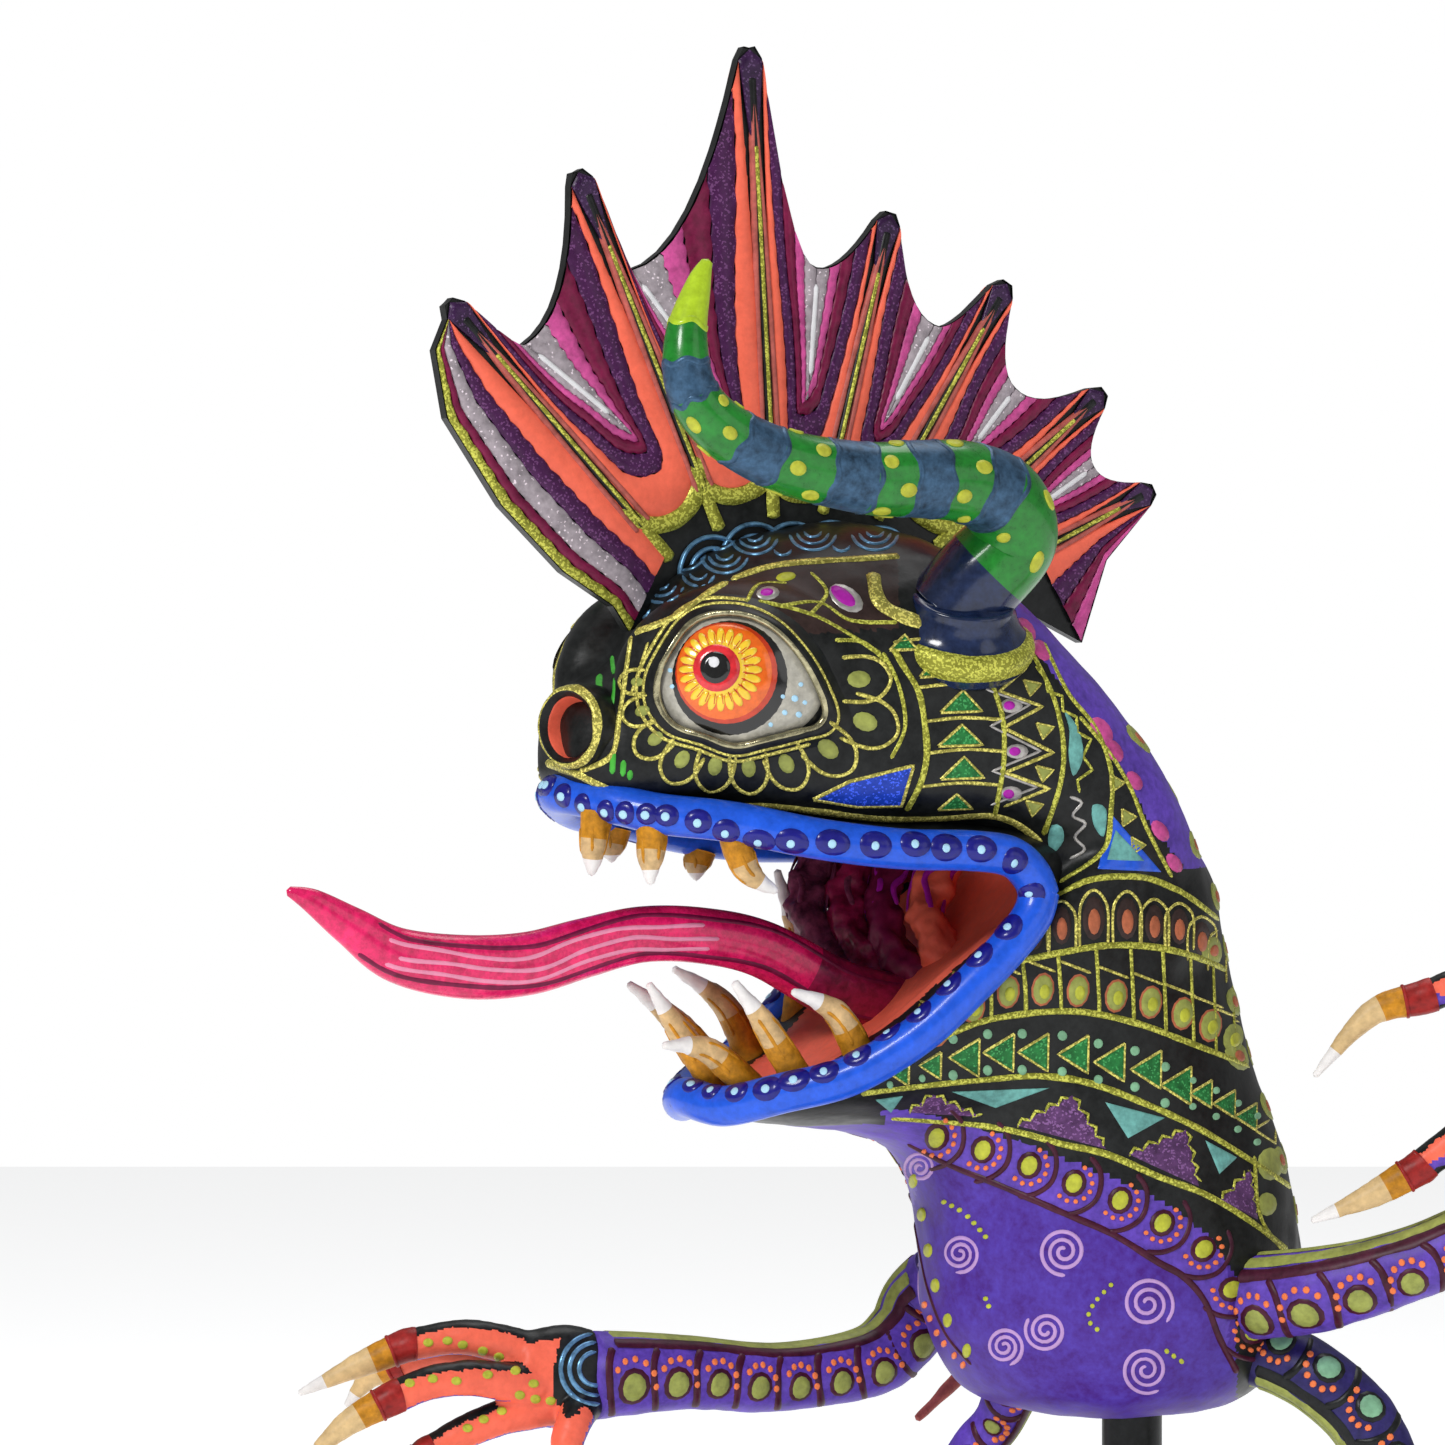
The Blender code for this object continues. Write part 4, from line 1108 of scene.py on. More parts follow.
def make_horns():
    """Curled horns with slate-blue bands, yellow dots and a dark-blue collar."""
    for side, label in ((-1, "left"), (1, "right")):
        line = HORN if side < 0 else HORN[:-3] + FAR_TIP
        path = [head_stop(u, side * width, z, radius) for u, width, z, radius in line]
        horn = Tube("horn_curl_" + label, path, ("collar", "horn", "horn_band", "horn_tip"), sides=40,
                    bands=HORN_BANDS, step=0.7)
        stand_in(horn.object, "horn_" + label)
        for low, high in HORN_DOTTED:
            for row, share in enumerate((0.3, 0.72)):
                length = horn.total * (low + (high - low) * share)
                size = 2.1 if low < 0.6 else 1.8
                for spot in range(4):
                    surface = wrapped(horn, 90 * spot + 45 * row + 300 * low)
                    dot(surface, length, 0, size, size * 0.85, "yellow_green", height=0.35, count=16)
        for number, (share, _) in enumerate(HORN_BANDS[1:-2]):
            hoop(horn, horn.total * share, 1.5, "horn_band", height=0.2, wave=0.5, waves=5 + number % 3)
        hoop(horn, horn.total * 0.895, 1.6, "horn_tip", height=0.2, wave=0.6, waves=4)
        collar = lathe("horn_collar_" + label, head_point(-65, side * 34, 352) / MM,
                       Vector((0.12, side * 0.42, 0.9)),
                       [(16.0, -6, 0), (18.5, -1, 1), (17.6, 2.5, 1), (16.0, 3.2, 0), (14.2, 5.5, 0), (12.8, 9, 0),
                        (12.3, 11, 0), (9, 11, 0)], ("collar", "olive_glitter"), 48)
        lumps(collar, 0.5, 8)
        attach(collar, "figure")


CREST_FRONT = [(-137, 354), (-141, 360), (-154, 368), (-170, 383.5), (-184, 404), (-187, 420)]
CREST_SPIKES = [(-183, 431), (-150, 463), (-105, 494.5), (-67, 456), (-35, 440), (-8, 414), (6, 390)]
CREST_VALLEYS = [(-164, 422), (-136.5, 440.5), (-87, 442.5), (-55, 429.5), (-32.5, 414.5), (-10.5, 395.5)]
CREST_ROOT = [(-7, 372.5), (-14, 352), (-37, 363), (-69, 369.5), (-102, 368.5), (-123, 359)]
CREST_CENTRE = (-96.0, 340.0)
CREST_LOBES = [51.0, 49.5, 49.0, 52.0, 58.0, 65.0]
# Each band's start and end, as shares of the way across a bay: at the top and at the bottom of the U.
CREST_BANDS = [(0.0, 0.0, 0.07, 0.42, "coral"), (0.07, 0.42, 0.34, 0.66, "aubergine"),
               (0.34, 0.66, 0.58, 0.80, "wine"), (0.58, 0.80, 0.76, 0.91, "pink"), (0.76, 0.91, 1.0, 1.0, "grey")]
FRONT_BANDS = ((0.0, 0.30, "coral"), (0.30, 0.52, "aubergine"), (0.52, 0.76, "grey"), (0.76, 0.88, "wine"),
               (0.88, 1.0, "olive_glitter"))
BACK_BANDS = ((0.0, 0.35, "coral"), (0.35, 0.6, "aubergine"), (0.6, 0.8, "wine"), (0.8, 1.0, "pink"))
BAY_ROWS = 45


def crest_lean(spot):
    """The direction of a place of the crest from its centre."""
    return math.atan2(spot[1] - CREST_CENTRE[1], spot[0] - CREST_CENTRE[0])


def crest_surface(side):
    """The flat side of the crest, in the head's u and z."""
    normal = turned(HEAD_TURN) @ Vector((0, side, 0))

    def find(u, z):
        return head_point(u, side * 1.7, z), normal
    return find


def crest_strip(surface, grid, start_top, start_low, end_top, end_low, colour):
    """One raised band of paint of a crest bay; its edges lie farther in at the bottom of the U."""
    points = []
    across = ((0.0, -0.1), (0.1, 0.4), (0.5, 0.6), (0.9, 0.4), (1.0, -0.1))
    rows = len(grid)
    for row, line in enumerate(grid):
        low = math.sin(math.pi * row / (rows - 1)) ** 2.2
        start = start_top + (start_low - start_top) * low
        end = end_top + (end_low - end_top) * low
        wobble = 0.012 * math.sin(row * 1.7 + start * 40)
        for share, lift in across:
            value = start + (end - start) * share
            if 0.01 < value < 0.99:
                value += wobble
            place, normal = surface(*line(value))
            points.append(place + normal * (lift * MM))
    add_layer("crest_" + colour, points, sheet_faces(rows, len(across)))


def bay_line(outer, inner, handle, share):
    """The line across a crest bay at one place: straight low down, bowed at the outer edge."""
    def find(value):
        bowed = mix(mix(outer, handle, value), mix(handle, inner, value), value)
        return mix(mix(outer, inner, value), bowed, share)
    return find


def resample(route, count):
    """A line of points evenly respaced."""
    lengths = [0.0]
    for start, end in zip(route, route[1:]):
        lengths.append(lengths[-1] + math.dist(start, end))
    spots = []
    index = 0
    for tick in range(count + 1):
        want = lengths[-1] * tick / count
        while index < len(route) - 2 and lengths[index + 1] < want:
            index += 1
        share = (want - lengths[index]) / max(lengths[index + 1] - lengths[index], 1e-9)
        spots.append(mix(route[index], route[index + 1], min(share, 1.0)))
    return spots


def spike_sides():
    """Each spike's two shoulders and its blunt tip."""
    sides = []
    for u, z in CREST_SPIKES:
        lean = crest_lean((u, z))
        aside = (math.sin(lean) * 3.2, -math.cos(lean) * 3.2)
        back = (math.cos(lean) * 2.0, math.sin(lean) * 2.0)
        sides.append(((u - aside[0] - back[0], z - aside[1] - back[1]), (u + back[0] * 0.3, z + back[1] * 0.3),
                      (u + aside[0] - back[0], z + aside[1] - back[1])))
    return sides


def bay_edge(shoulder, valley):
    """The handle that bows the crest's edge between a spike's shoulder and a valley."""
    share = math.dist(valley, CREST_CENTRE) / math.dist(shoulder, CREST_CENTRE)
    return mix(mix(CREST_CENTRE, shoulder, share), valley, 0.46)


def make_crest():
    """The card fan, with nested U-shaped bands between its ribs."""
    sides = spike_sides()
    outline = list(CREST_FRONT)
    for index, (first, top, second) in enumerate(sides):
        rounded = [mix(CREST_CENTRE, mix(side, top, 0.55), 1.010) for side in (first, second)]
        outline += [first, rounded[0], top, rounded[1], second]
        if index < len(CREST_VALLEYS):
            valley, start = CREST_VALLEYS[index], sides[index + 1][0]
            falling = bay_line(second, valley, bay_edge(second, valley), 1.0)
            rising = bay_line(start, valley, bay_edge(start, valley), 1.0)
            outline += [falling(tick / 8) for tick in range(1, 8)] + [valley]
            outline += [rising(tick / 8) for tick in range(7, 0, -1)]
    outline += CREST_ROOT
    points = []
    rows = ((-1.0, 0.0), (-1.7, -0.35), (1.7, -0.35), (1.0, 0.0))
    centre = (-85.0, 385.0)
    for across, shrink in rows:
        for spot in outline:
            u, z = mix(spot, centre, shrink / math.dist(spot, centre))
            points.append(head_point(u, across, z))
    panel = add_mesh("crest_fan", points, loft_faces(len(rows), len(outline)))
    outward(panel)
    panel.data.shade_flat()
    stand_in(panel, "crest_panel")
    for side in (-1, 1):
        paint_crest(crest_surface(side), sides)


def bay_grid(index, start, end, arc, low):
    """The lines across a crest bay, from its outer edge to the valley's middle line."""
    valley = CREST_VALLEYS[index]
    outer = resample([start] + arc + [end], 2 * BAY_ROWS)
    inner = resample([valley, low], BAY_ROWS) + resample([low, valley], BAY_ROWS)[1:]
    grid = []
    for row, (one, two) in enumerate(zip(outer, inner)):
        rising = row < BAY_ROWS
        share = max(0.0, 1 - (row if rising else 2 * BAY_ROWS - row) / 26)
        handle = bay_edge(start if rising else end, valley)
        foot = outer[0] if rising else outer[-1]
        handle = (handle[0] + (one[0] - foot[0]), handle[1] + (one[1] - foot[1]))
        grid.append(bay_line(one, two, handle, share))
    return grid


def paint_bay(surface, sides, index):
    """The nested bands between two spikes, with the scallop and the blue rings at their foot."""
    valley, tip, after = CREST_VALLEYS[index], CREST_SPIKES[index], CREST_SPIKES[index + 1]
    half = abs(crest_lean(tip) - crest_lean(after)) / 2
    middle = (crest_lean(tip) + crest_lean(after)) / 2
    reach = CREST_LOBES[index] / (1 - math.sin(half))
    bend = reach * math.sin(half) * 0.92
    hub = place_at(CREST_CENTRE, middle, reach)
    turn = math.pi - 2 * half
    arc = [place_at(hub, middle + math.pi - turn / 2 + turn * tick / 12, bend) for tick in range(13)]
    if math.dist(arc[0], tip) > math.dist(arc[-1], tip):
        arc.reverse()
    low = place_at(CREST_CENTRE, middle, reach + 0.30 * (math.dist(valley, CREST_CENTRE) - reach))
    grid = bay_grid(index, sides[index][2], sides[index + 1][0], arc, low)
    for band in CREST_BANDS:
        crest_strip(surface, grid, *band)
    stroke(surface, [mix(valley, low, 0.12), mix(valley, low, 0.82)], 1.7, "white", height=1.0, sharp=True)
    grown = [mix(hub, spot, 1 + 2.0 / bend) for spot in arc]
    stroke(surface, grown, 4.4, "olive_glitter", height=0.9)
    foot = mix(CREST_CENTRE, hub, (CREST_LOBES[index] - 17.5) / reach)
    for size in (3.2, 6.2, 9.0):
        ring = [place_at(foot, middle + math.pi * (0.5 - tick / 10) * 1.05, size) for tick in range(11)]
        stroke(surface, ring, 1.2, "steel_blue", height=0.8)


def paint_end(surface, edge, rib_root, rib_tip, rows, bands):
    """The bands between the first or last spike's rib and the crest's edge."""
    rib = resample([rib_root, rib_tip], rows)
    grid = [bay_line(one, two, one, 0.0) for one, two in zip(rib, resample(edge, rows))]
    for start, end, colour in bands:
        crest_strip(surface, grid, start, start, end, end, colour)


def paint_spike(surface, sides, index):
    """A spike's dark tip and its rib of salmon, black and gold lines."""
    tip = CREST_SPIKES[index]
    root = mix(CREST_CENTRE, tip, (CREST_LOBES[min(index, 5)] + 3) / math.dist(tip, CREST_CENTRE))
    patch(surface, [mix(tip, root, 0.30), *sides[index]], "dark_tip", height=0.62, sharp=True)
    waist = mix(tip, root, 0.52)
    lean = math.atan2(tip[1] - root[1], tip[0] - root[0])
    for sign in (-1, 1):
        aside = (math.sin(lean) * 1.5 * sign, -math.cos(lean) * 1.5 * sign)
        line = [(root[0] + aside[0] * 1.4, root[1] + aside[1] * 1.4), (waist[0] + aside[0], waist[1] + aside[1]),
                mix(tip, root, 0.08)]
        stroke(surface, line, 1.7, "salmon", height=0.95)
    stroke(surface, [root, waist, mix(tip, root, 0.06)], 2.6, "black", height=1.0)
    stroke(surface, [root, mix(root, waist, 0.5), mix(tip, root, 0.22)], 1.5, "olive_glitter", height=1.3)
    stroke(surface, [mix(CREST_CENTRE, root, 0.80), root], 3.4, "olive_glitter", height=0.9)


def paint_crest(surface, sides):
    """The bands, ribs and scalloped gold border on one side of the crest."""
    for index in range(len(CREST_VALLEYS)):
        paint_bay(surface, sides, index)
    paint_end(surface, CREST_FRONT + [sides[0][0]], mix(CREST_CENTRE, CREST_SPIKES[0], 0.36), sides[0][0], 60,
              FRONT_BANDS)
    paint_end(surface, [CREST_ROOT[1], CREST_ROOT[0], sides[6][2]], mix(CREST_CENTRE, CREST_SPIKES[6], 0.68),
              sides[6][2], 40, BACK_BANDS)
    for index in range(len(CREST_SPIKES)):
        paint_spike(surface, sides, index)


ARM_RIGHT = [(-45.2, 30, 190, 10.5), (-51.5, 34, 184, 10), (-56, 32, 176, 9.5), (-66, 27, 169.5, 8.8),
             (-88, 16, 167, 8.5), (-110, 4, 169.5, 9), (-122, -2, 170, 10), (-134, -6.9, 170, 11)]
ARM_LEFT = [(24, -30, 192, 10.5), (31.6, -34.4, 192.5, 10.5), (44, -42.5, 195, 10), (57, -48, 199, 9),
            (72, -52, 205, 8.5), (92, -54, 216, 8.5), (105, -55, 231, 9), (109, -55, 246, 10)]
LEG_RIGHT = [(-26, 15, 170, 6.5), (-30, 18.5, 161.5, 6.5), (-33, 20.5, 155, 6), (-40, 22, 146, 5.8),
             (-46, 22, 130, 6.5), (-46, 20, 112, 6.5), (-42, 17, 80, 5.8), (-40, 14, 52, 5.5), (-40, 11, 39.4, 6)]
LEG_LEFT = [(28, -20, 178, 8.5), (36.2, -23.8, 175.4, 8.5), (45, -28, 170.5, 8.5), (54, -31, 162, 8.5),
            (60, -33, 150, 8.3), (65, -34, 132, 8.5), (64, -33, 112, 8), (58, -31, 80, 6.8), (53, -30, 52, 6),
            (52, -31, 38, 6.5)]
TAIL = [(20, 28, 182, 8), (24.6, 33.6, 181, 7.5), (33, 44, 178, 7), (36, 56, 178, 6.3), (24, 67, 182, 5.6),
        (4, 68, 184, 4.8), (-16, 60, 180, 3.8), (-34, 51, 169.5, 2.6), (-52, 44, 153.5, 0.9)]
DRAWN_RADIUS = 9.5           # the radius that the limbs' patterns are drawn for
STRIP_STOPS = (0.03, 0.2, 0.4, 0.6, 0.8, 0.97)


def radius_at(tube, share):
    """A tube's radius at a share of its length."""
    return tube.radii[min(round(share * len(tube.radii)), len(tube.radii) - 1)]


def limb_pattern(tube, facing, step, ground_line, spot):
    """Violet scallops with ovals and orange dots down a limb, and an olive strip along its top."""
    middle = tube.total / 2
    aim = Vector(facing)
    face = max(range(0, 360, 10), key=lambda angle: tube.at(middle, angle)[1].dot(aim))
    top = 1 if tube.at(middle, face + 40)[0].z > tube.at(middle, face - 40)[0].z else -1
    for turn in (0, 180):
        surface = wrapped(tube, face + turn)
        way = top if turn == 0 else -top
        length = step * 0.7
        while length < tube.total - step * 0.4:
            size = radius_at(tube, length / tube.total) / DRAWN_RADIUS
            low = -2.2 * way * size
            line = [(length + step * 0.40, 7.5 * way * size), (length + step * 0.56, 3 * way * size),
                    (length + step * 0.54, -3 * way * size), (length + step * 0.34, -11 * way * size)]
            stroke(surface, line, 2.0, ground_line, height=0.3)
            dot(surface, length, low, 4.0 * size, 4.6 * size, ground_line, height=0.3)
            dot(surface, length, low, 2.9 * size, 3.4 * size, spot, height=0.5)
            for tick in range(6):
                angle = math.radians(40 + 28 * tick)
                dot(surface, length + 5.1 * size * math.cos(angle), low + 6.4 * way * size * math.sin(angle),
                    0.75, 0.9, "orange", height=0.45, count=8)
            length += step
        for rise, width, colour, height in ((0.92, 3.4, ground_line, 0.35), (1.32, 3.8, "olive", 0.4)):
            strip = [(tube.total * share, rise * way * radius_at(tube, share)) for share in STRIP_STOPS]
            stroke(surface, strip, width, colour, height=height)


def make_limbs():
    """Arms, legs and tail."""
    for name, path, colour, step, ground, spot in (
            ("arm_right", ARM_RIGHT, "violet", 11.7, "maroon", "olive"),
            ("arm_left", ARM_LEFT, "violet", 12.5, "maroon", "olive"),
            ("leg_left", LEG_LEFT, "night", 12.0, "black", "pale_green"),
            ("leg_right", LEG_RIGHT, "violet", 10.0, "maroon", "olive")):
        limb = Tube(name + "_skin", path, (colour,), sides=32)
        lumps(limb.object, 0.35, 9)
        stand_in(limb.object, name)
        limb_pattern(limb, (0.2, -1, 0), step, ground, spot)
    # The tail's last 45% takes the dimmed coral as painted shade.
    tail = Tube("tail_skin", TAIL, ("olive", "dull_coral"), bands=((0.55, 0), (1.0, 1)), sides=24)
    lumps(tail.object, 0.3, 7)
    stand_in(tail.object, "tail")
    for number in range(14):
        hoop(tail, 12 + number * (tail.total - 20) / 14, 1.6 - 0.06 * number, "maroon", wave=0.5, waves=4)


PALM_RIGHT = [(-134, -6.9, 170, 11.5), (-142, -9.5, 170, 13), (-152, -12, 170.5, 11)]
FINGERS_RIGHT = [
    [(-148, -11, 176, 5), (-162, -14, 180, 4.6), (-171, -15, 180, 4.2), (-179, -16, 178.5, 4)],
    [(-148, -8, 172, 5), (-160, -5, 175, 4.6), (-173, -3.5, 176, 4.2), (-183, -2, 172.5, 3.8)],
    [(-148, -15, 168, 5), (-162, -22, 171, 4.6), (-173, -26, 170.5, 4.2), (-182, -28, 167, 4)],
    [(-144, -12, 163, 5), (-155, -15, 161, 4.6), (-165, -18, 157.5, 4.2), (-174, -20, 152.5, 4)],
    [(-136, -12, 164, 5), (-138, -18, 161, 4.6), (-140, -21.5, 156, 4.2), (-140.5, -22.5, 151, 4)],
]
CLAWS_RIGHT = [
    [(-192, -17.5, 173.5), (-206, -19, 167)],
    [(-190, -1.5, 169), (-195.5, -1.5, 162)],
    [(-194, -30, 160.5), (-205, -32, 150.5)],
    [(-182, -21.5, 146), (-187, -22.5, 138)],
    [(-141.5, -23, 145), (-141, -23, 138)],
]
PALM_LEFT = [(109, -55, 247.8, 10), (108, -55.5, 253, 12.5), (103, -56, 260, 10.5)]
FINGERS_LEFT = [
    [(104, -57, 258, 5), (93, -58, 267, 4.6), (80, -58, 270.5, 4.3), (67, -58, 266.5, 4)],
    [(104, -58, 255, 5), (92, -60, 248, 4.6), (78, -61, 236, 4.3), (65, -61, 226, 4)],
    [(105, -52, 262, 5), (104, -47, 274, 4.6), (99, -45, 283, 4.3), (92, -44, 288, 4)],
    [(107, -50, 256, 5), (109, -41, 265, 4.6), (106, -34, 274, 4.3), (100, -31, 278, 4)],
    [(106, -51, 254, 5), (107, -43, 251, 4.6), (104, -35.5, 244, 4.3), (98, -31, 237, 4)],
]
CLAWS_LEFT = [
    [(53, -58, 262), (40, -58, 247.5)],
    [(53, -61, 219), (39, -61, 213)],
    [(86.5, -43.2, 291), (80, -42.5, 290)],
    [(93.5, -28, 282), (87, -26, 283)],
    [(91.5, -27, 230.5), (86, -26, 223)],
]


def melted(name, tubes, paints, voxel, smooth):
    """One skin in place of several tubes."""
    skin = joined(name, taken([tube.object for tube in tubes]), paints)
    fuse(skin, voxel, smooth)
    outward(skin)
    repaint(skin, paints)
    return skin


def make_hand(label, palm, fingers, claws, facing):
    """A hand with a coral palm and a dark back, and its claws."""
    tubes = [Tube("palm", palm, ("coral",), flatten=0.66)]
    tubes += [Tube("finger", finger, ("coral",), sides=20) for finger in fingers]
    hand = melted("hand_skin_" + label, tubes, ("coral", "black", "violet"), 0.75, 5)
    lumps(hand, 0.2, 5)
    aim = Vector(facing).normalized()
    wrist = Vector(palm[0][:3])
    for face in hand.data.polygons:
        lean = face.normal.dot(aim)
        face.material_index = 0 if lean > 0.25 else (2 if lean > -0.05 else 1)
        if (face.center / MM - wrist).length < 15 or face.normal.z > 0.6:
            face.material_index = 1
    stand_in(hand, "hand_" + label)
    for number, (finger, (middle, tip)) in enumerate(zip(fingers, claws), 1):
        end = Vector(finger[-1][:3])
        back = (end - Vector(finger[-2][:3])).normalized()
        path = [(*(end - back * 1.5), 4.2), (*(end + back * 1.5), 4.15), (*middle, 3.0), (*tip, 0.8)]
        claw = Tube(f"claw_{label}_{number}_horn", path, ("claw_red", "ochre", "claw_cream", "tip_white"),
                    bands=((0.2, 0), (0.36, 1), (0.78, 2), (1.0, 3)), sides=22, step=0.5)
        lumps(claw.object, 0.15, 2.5)
        stand_in(claw.object, f"claw_{label}_{number}")
        hoop(claw, claw.total * 0.2, 1.0, "claw_red", height=0.35)
    return hand


PALM_DOTS = ((-175.3, 177.5), (-170.5, 178), (-166.7, 177), (-161.7, 175.5), (-157.7, 174), (-153.6, 170.5),
             (-179.9, 167.4), (-174.2, 168.5), (-168.3, 168), (-148.6, 163.5), (-144.8, 163), (-149.1, 167.3),
             (-152.5, 164.5), (-165.5, 156.2), (-161.5, 158.4), (-157, 160.5), (-160.5, 169.5))
WRIST = (-133.5, 171)


def palm_patterns(hand):
    """Yellow dots on the open palm, and steel-blue rings at the wrist."""
    surface = laid_on(tree_of(hand))
    for x, z in PALM_DOTS:
        dot(surface, x, z, 1.35, 1.1, "yellow_green", height=0.3, count=10)
    dot(surface, *WRIST, 1.8, 1.8, "steel_blue", height=0.35)
    for size in (4.2, 6.6, 8.8):
        ring = [place_at(WRIST, math.tau * tick / 12, size) for tick in range(12)]
        stroke(surface, ring, 1.3, "steel_blue", height=0.35, closed=True)


SOLE = 26.2                  # the soles' height: a hair above the base
TOE_LENGTH = 27


def make_feet():
    """Feet with three toes, a guess: they are out of the picture."""
    for label, x, y in (("right", -40.0, 11.0), ("left", 52.0, -31.0)):
        tubes = [Tube("heel", [(x, y, 39, 5.8), (x, y, 34, 6.4), (x, y, 29.5, 6.4)], ("violet",), up=(1, 0, 0))]
        for number in (-1, 0, 1):
            aim = math.radians(50 + number * 24)
            toe = []
            for reach, height, radius in ((0.06, 5.5, 5.0), (0.5, 5.2, 4.6), (0.85, 3.8, 3.3), (1.0, 1.8, 1.2)):
                toe.append((x - math.cos(aim) * reach * TOE_LENGTH, y - math.sin(aim) * reach * TOE_LENGTH,
                            26.3 + height, radius))
            tubes.append(Tube("toe", toe, ("violet",), sides=20))
        foot = melted("foot_skin_" + label, tubes, ("violet", "ochre"), 0.8, 3)
        for point in foot.data.vertices:
            point.co.z = max(point.co.z, SOLE * MM)
        for face in foot.data.polygons:
            reach = math.dist((face.center.x / MM, face.center.y / MM), (x, y))
            face.material_index = 1 if reach > 21 else 0
        stand_in(foot, "foot_" + label)


def make_stand():
    """The turned base with its gold bead, and the post with its yellow dots."""
    profile = [(5.5, 7, 0), (5.5, 2.3, 0), (88, 2.3, 0), (90, 3.3, 0), (90, 11, 0), (88.8, 14, 0), (85, 16, 1),
               (83.5, 17.5, 1), (82.8, 20, 0), (80, 23.4, 0), (76, 25.2, 0), (70, 26, 0), (9, 26, 0),
               (7.8, 25.5, 0), (7.8, 12, 0), (2, 12, 0), (2, 7, 0)]
    points = []
    segments = 128
    rows = []
    for (radius, height, number), (next_radius, next_height, _) in zip(profile, profile[1:]):
        steps = max(1, round(math.dist((radius, height), (next_radius, next_height)) / 3))
        for tick in range(steps):
            share = tick / steps
            rows.append((*mix((radius, height), (next_radius, next_height), share), number))
    rows.append(profile[-1])
    for radius, height, _ in rows:
        for side in range(segments):
            angle = math.tau * side / segments
            points.append(Vector((math.cos(angle) * radius, math.sin(angle) * radius, height)) * MM)
    faces = loft_faces(len(rows), segments, caps=False)
    last = (len(rows) - 1) * segments
    faces += [(last + side, side, (side + 1) % segments, last + (side + 1) % segments) for side in range(segments)]
    base = add_mesh("base_turned", points, faces, ("black", "gold"))
    for face in base.data.polygons:
        face.material_index = rows[face.vertices[0] // segments][2]
    outward(base)
    base.data.set_sharp_from_angle(angle=math.radians(35))
    stand_in(base, "base_disc")
    path = [(0, 0, z, 7.5) for z in (12.5, 30, 60, 90, 120, 150, 180, 210, 233)] + [(0, 0, 234.6, 6.6)]
    post = Tube("post_painted", path, ("black",), sides=48, up=(1, 0, 0))
    stand_in(post.object, "support_post")
    for row in range(9):
        for number in range(5):
            surface = wrapped(post, 72 * number + 36 * (row % 2))
            dot(surface, 22 + 13.5 * row, 0, 3.6, 2.2, "post_yellow", height=0.2)


# The CAD nodes that are shown as they are, and their paint.
CAD_PAINTS = {
    "base_felt": "felt", "post_screw": "steel", "post_sleeve": "raw_paper", "sleeve_plug": "raw_paper",
    "belly_core": "raw_paper", "arm_left_wire": "steel", "arm_right_wire": "steel",
    "leg_left_wire": "steel", "leg_right_wire": "steel",
}


# ---------------------------------------------------------------- patterns

CURL_TURNS = 2.6


def curl(surface, x, z, size, start, way):
    """A lilac curl of paint; way is 1 or -1."""
    points = []
    count = round(14 * CURL_TURNS)
    for tick in range(count + 1):
        share = tick / count
        points.append(place_at((x, z), start + way * math.tau * CURL_TURNS * share, size * (0.12 + 0.88 * share)))
    stroke(surface, points, 1.05, "lilac", height=0.3)


def along_line(line, spacing, offset=0.0):
    """Places and slopes evenly spaced on a line of points."""
    dense = spline(line, 0.5)
    spots = []
    travelled = -offset
    wanted = 0.0
    for before, after in zip(dense, dense[1:]):
        travelled += math.dist(before, after)
        if travelled >= wanted:
            slope = math.degrees(math.atan2(after[1] - before[1], after[0] - before[0]))
            spots.append((after[0], after[1], slope))
            wanted += spacing
    return spots


def outlined(surface, outline, colour, width=0.8, height=0.2):
    """A filled shape with straight sides and a gold line round it."""
    patch(surface, outline, colour, height, sharp=True)
    stroke(surface, outline, width, "gold", height=0.35, closed=True, sharp=True)


def petal(surface, x, z, size):
    """A petal's gold edge and its olive oval, pointing away from the eye."""
    away = math.atan2(z - EYE_MIDDLE[1], (x - EYE_MIDDLE[0]) * 0.9)
    out = (math.cos(away), math.sin(away))
    aside = (-out[1], out[0])
    rim = []
    for across, reach in ((4.7, -4.2), (4.9, 1.0), (3.4, 4.6), (0.0, 6.4), (-3.4, 4.6), (-4.9, 1.0), (-4.7, -4.2)):
        rim.append((x + (aside[0] * across + out[0] * reach) * size, z + (aside[1] * across + out[1] * reach) * size))
    stroke(surface, rim, 1.05, "gold", height=0.35)
    dot(surface, x - out[0] * 0.6, z - out[1] * 0.6, 2.6 * size, 1.9 * size, "olive", tilt=math.degrees(away),
        height=0.3)


ARCS = (
    [(-59.5, 350.5), (-56.6, 345.6), (-53.1, 339.6), (-51.6, 331.7), (-51.1, 323.8), (-52.6, 316.9), (-56.1, 310)],
    [(-41.5, 355), (-40.7, 351.5), (-35.8, 343.6), (-32.3, 333.7), (-31.8, 323.8), (-32.8, 315.9), (-34.3, 308)],
    [(-31, 359), (-23.9, 347.6), (-19, 336.7), (-17, 325.8), (-18, 315.9), (-22, 304)],
    [(-22, 352), (-16, 339.6), (-9.1, 330.7), (-5.2, 319.9), (-5.2, 310), (-7.1, 300.1), (-18, 292.2)],
)
CELL_LINES = (352.5, 341.1, 332.7, 324.8, 316.4)


def arc_x(arc, z):
    """Where an upright arc is at a height."""
    return height_on(sorted((spot[1], spot[0]) for spot in arc), z)


SCALES = ((-124, 361), (-117.5, 367), (-112.9, 361.3), (-108, 369.5), (-101.5, 374.3), (-94.1, 379),
          (-87, 375.5), (-79.5, 380), (-72.4, 376.5), (-64, 380), (-57, 376), (-122, 355.5), (-104, 380),
          (-112, 375))


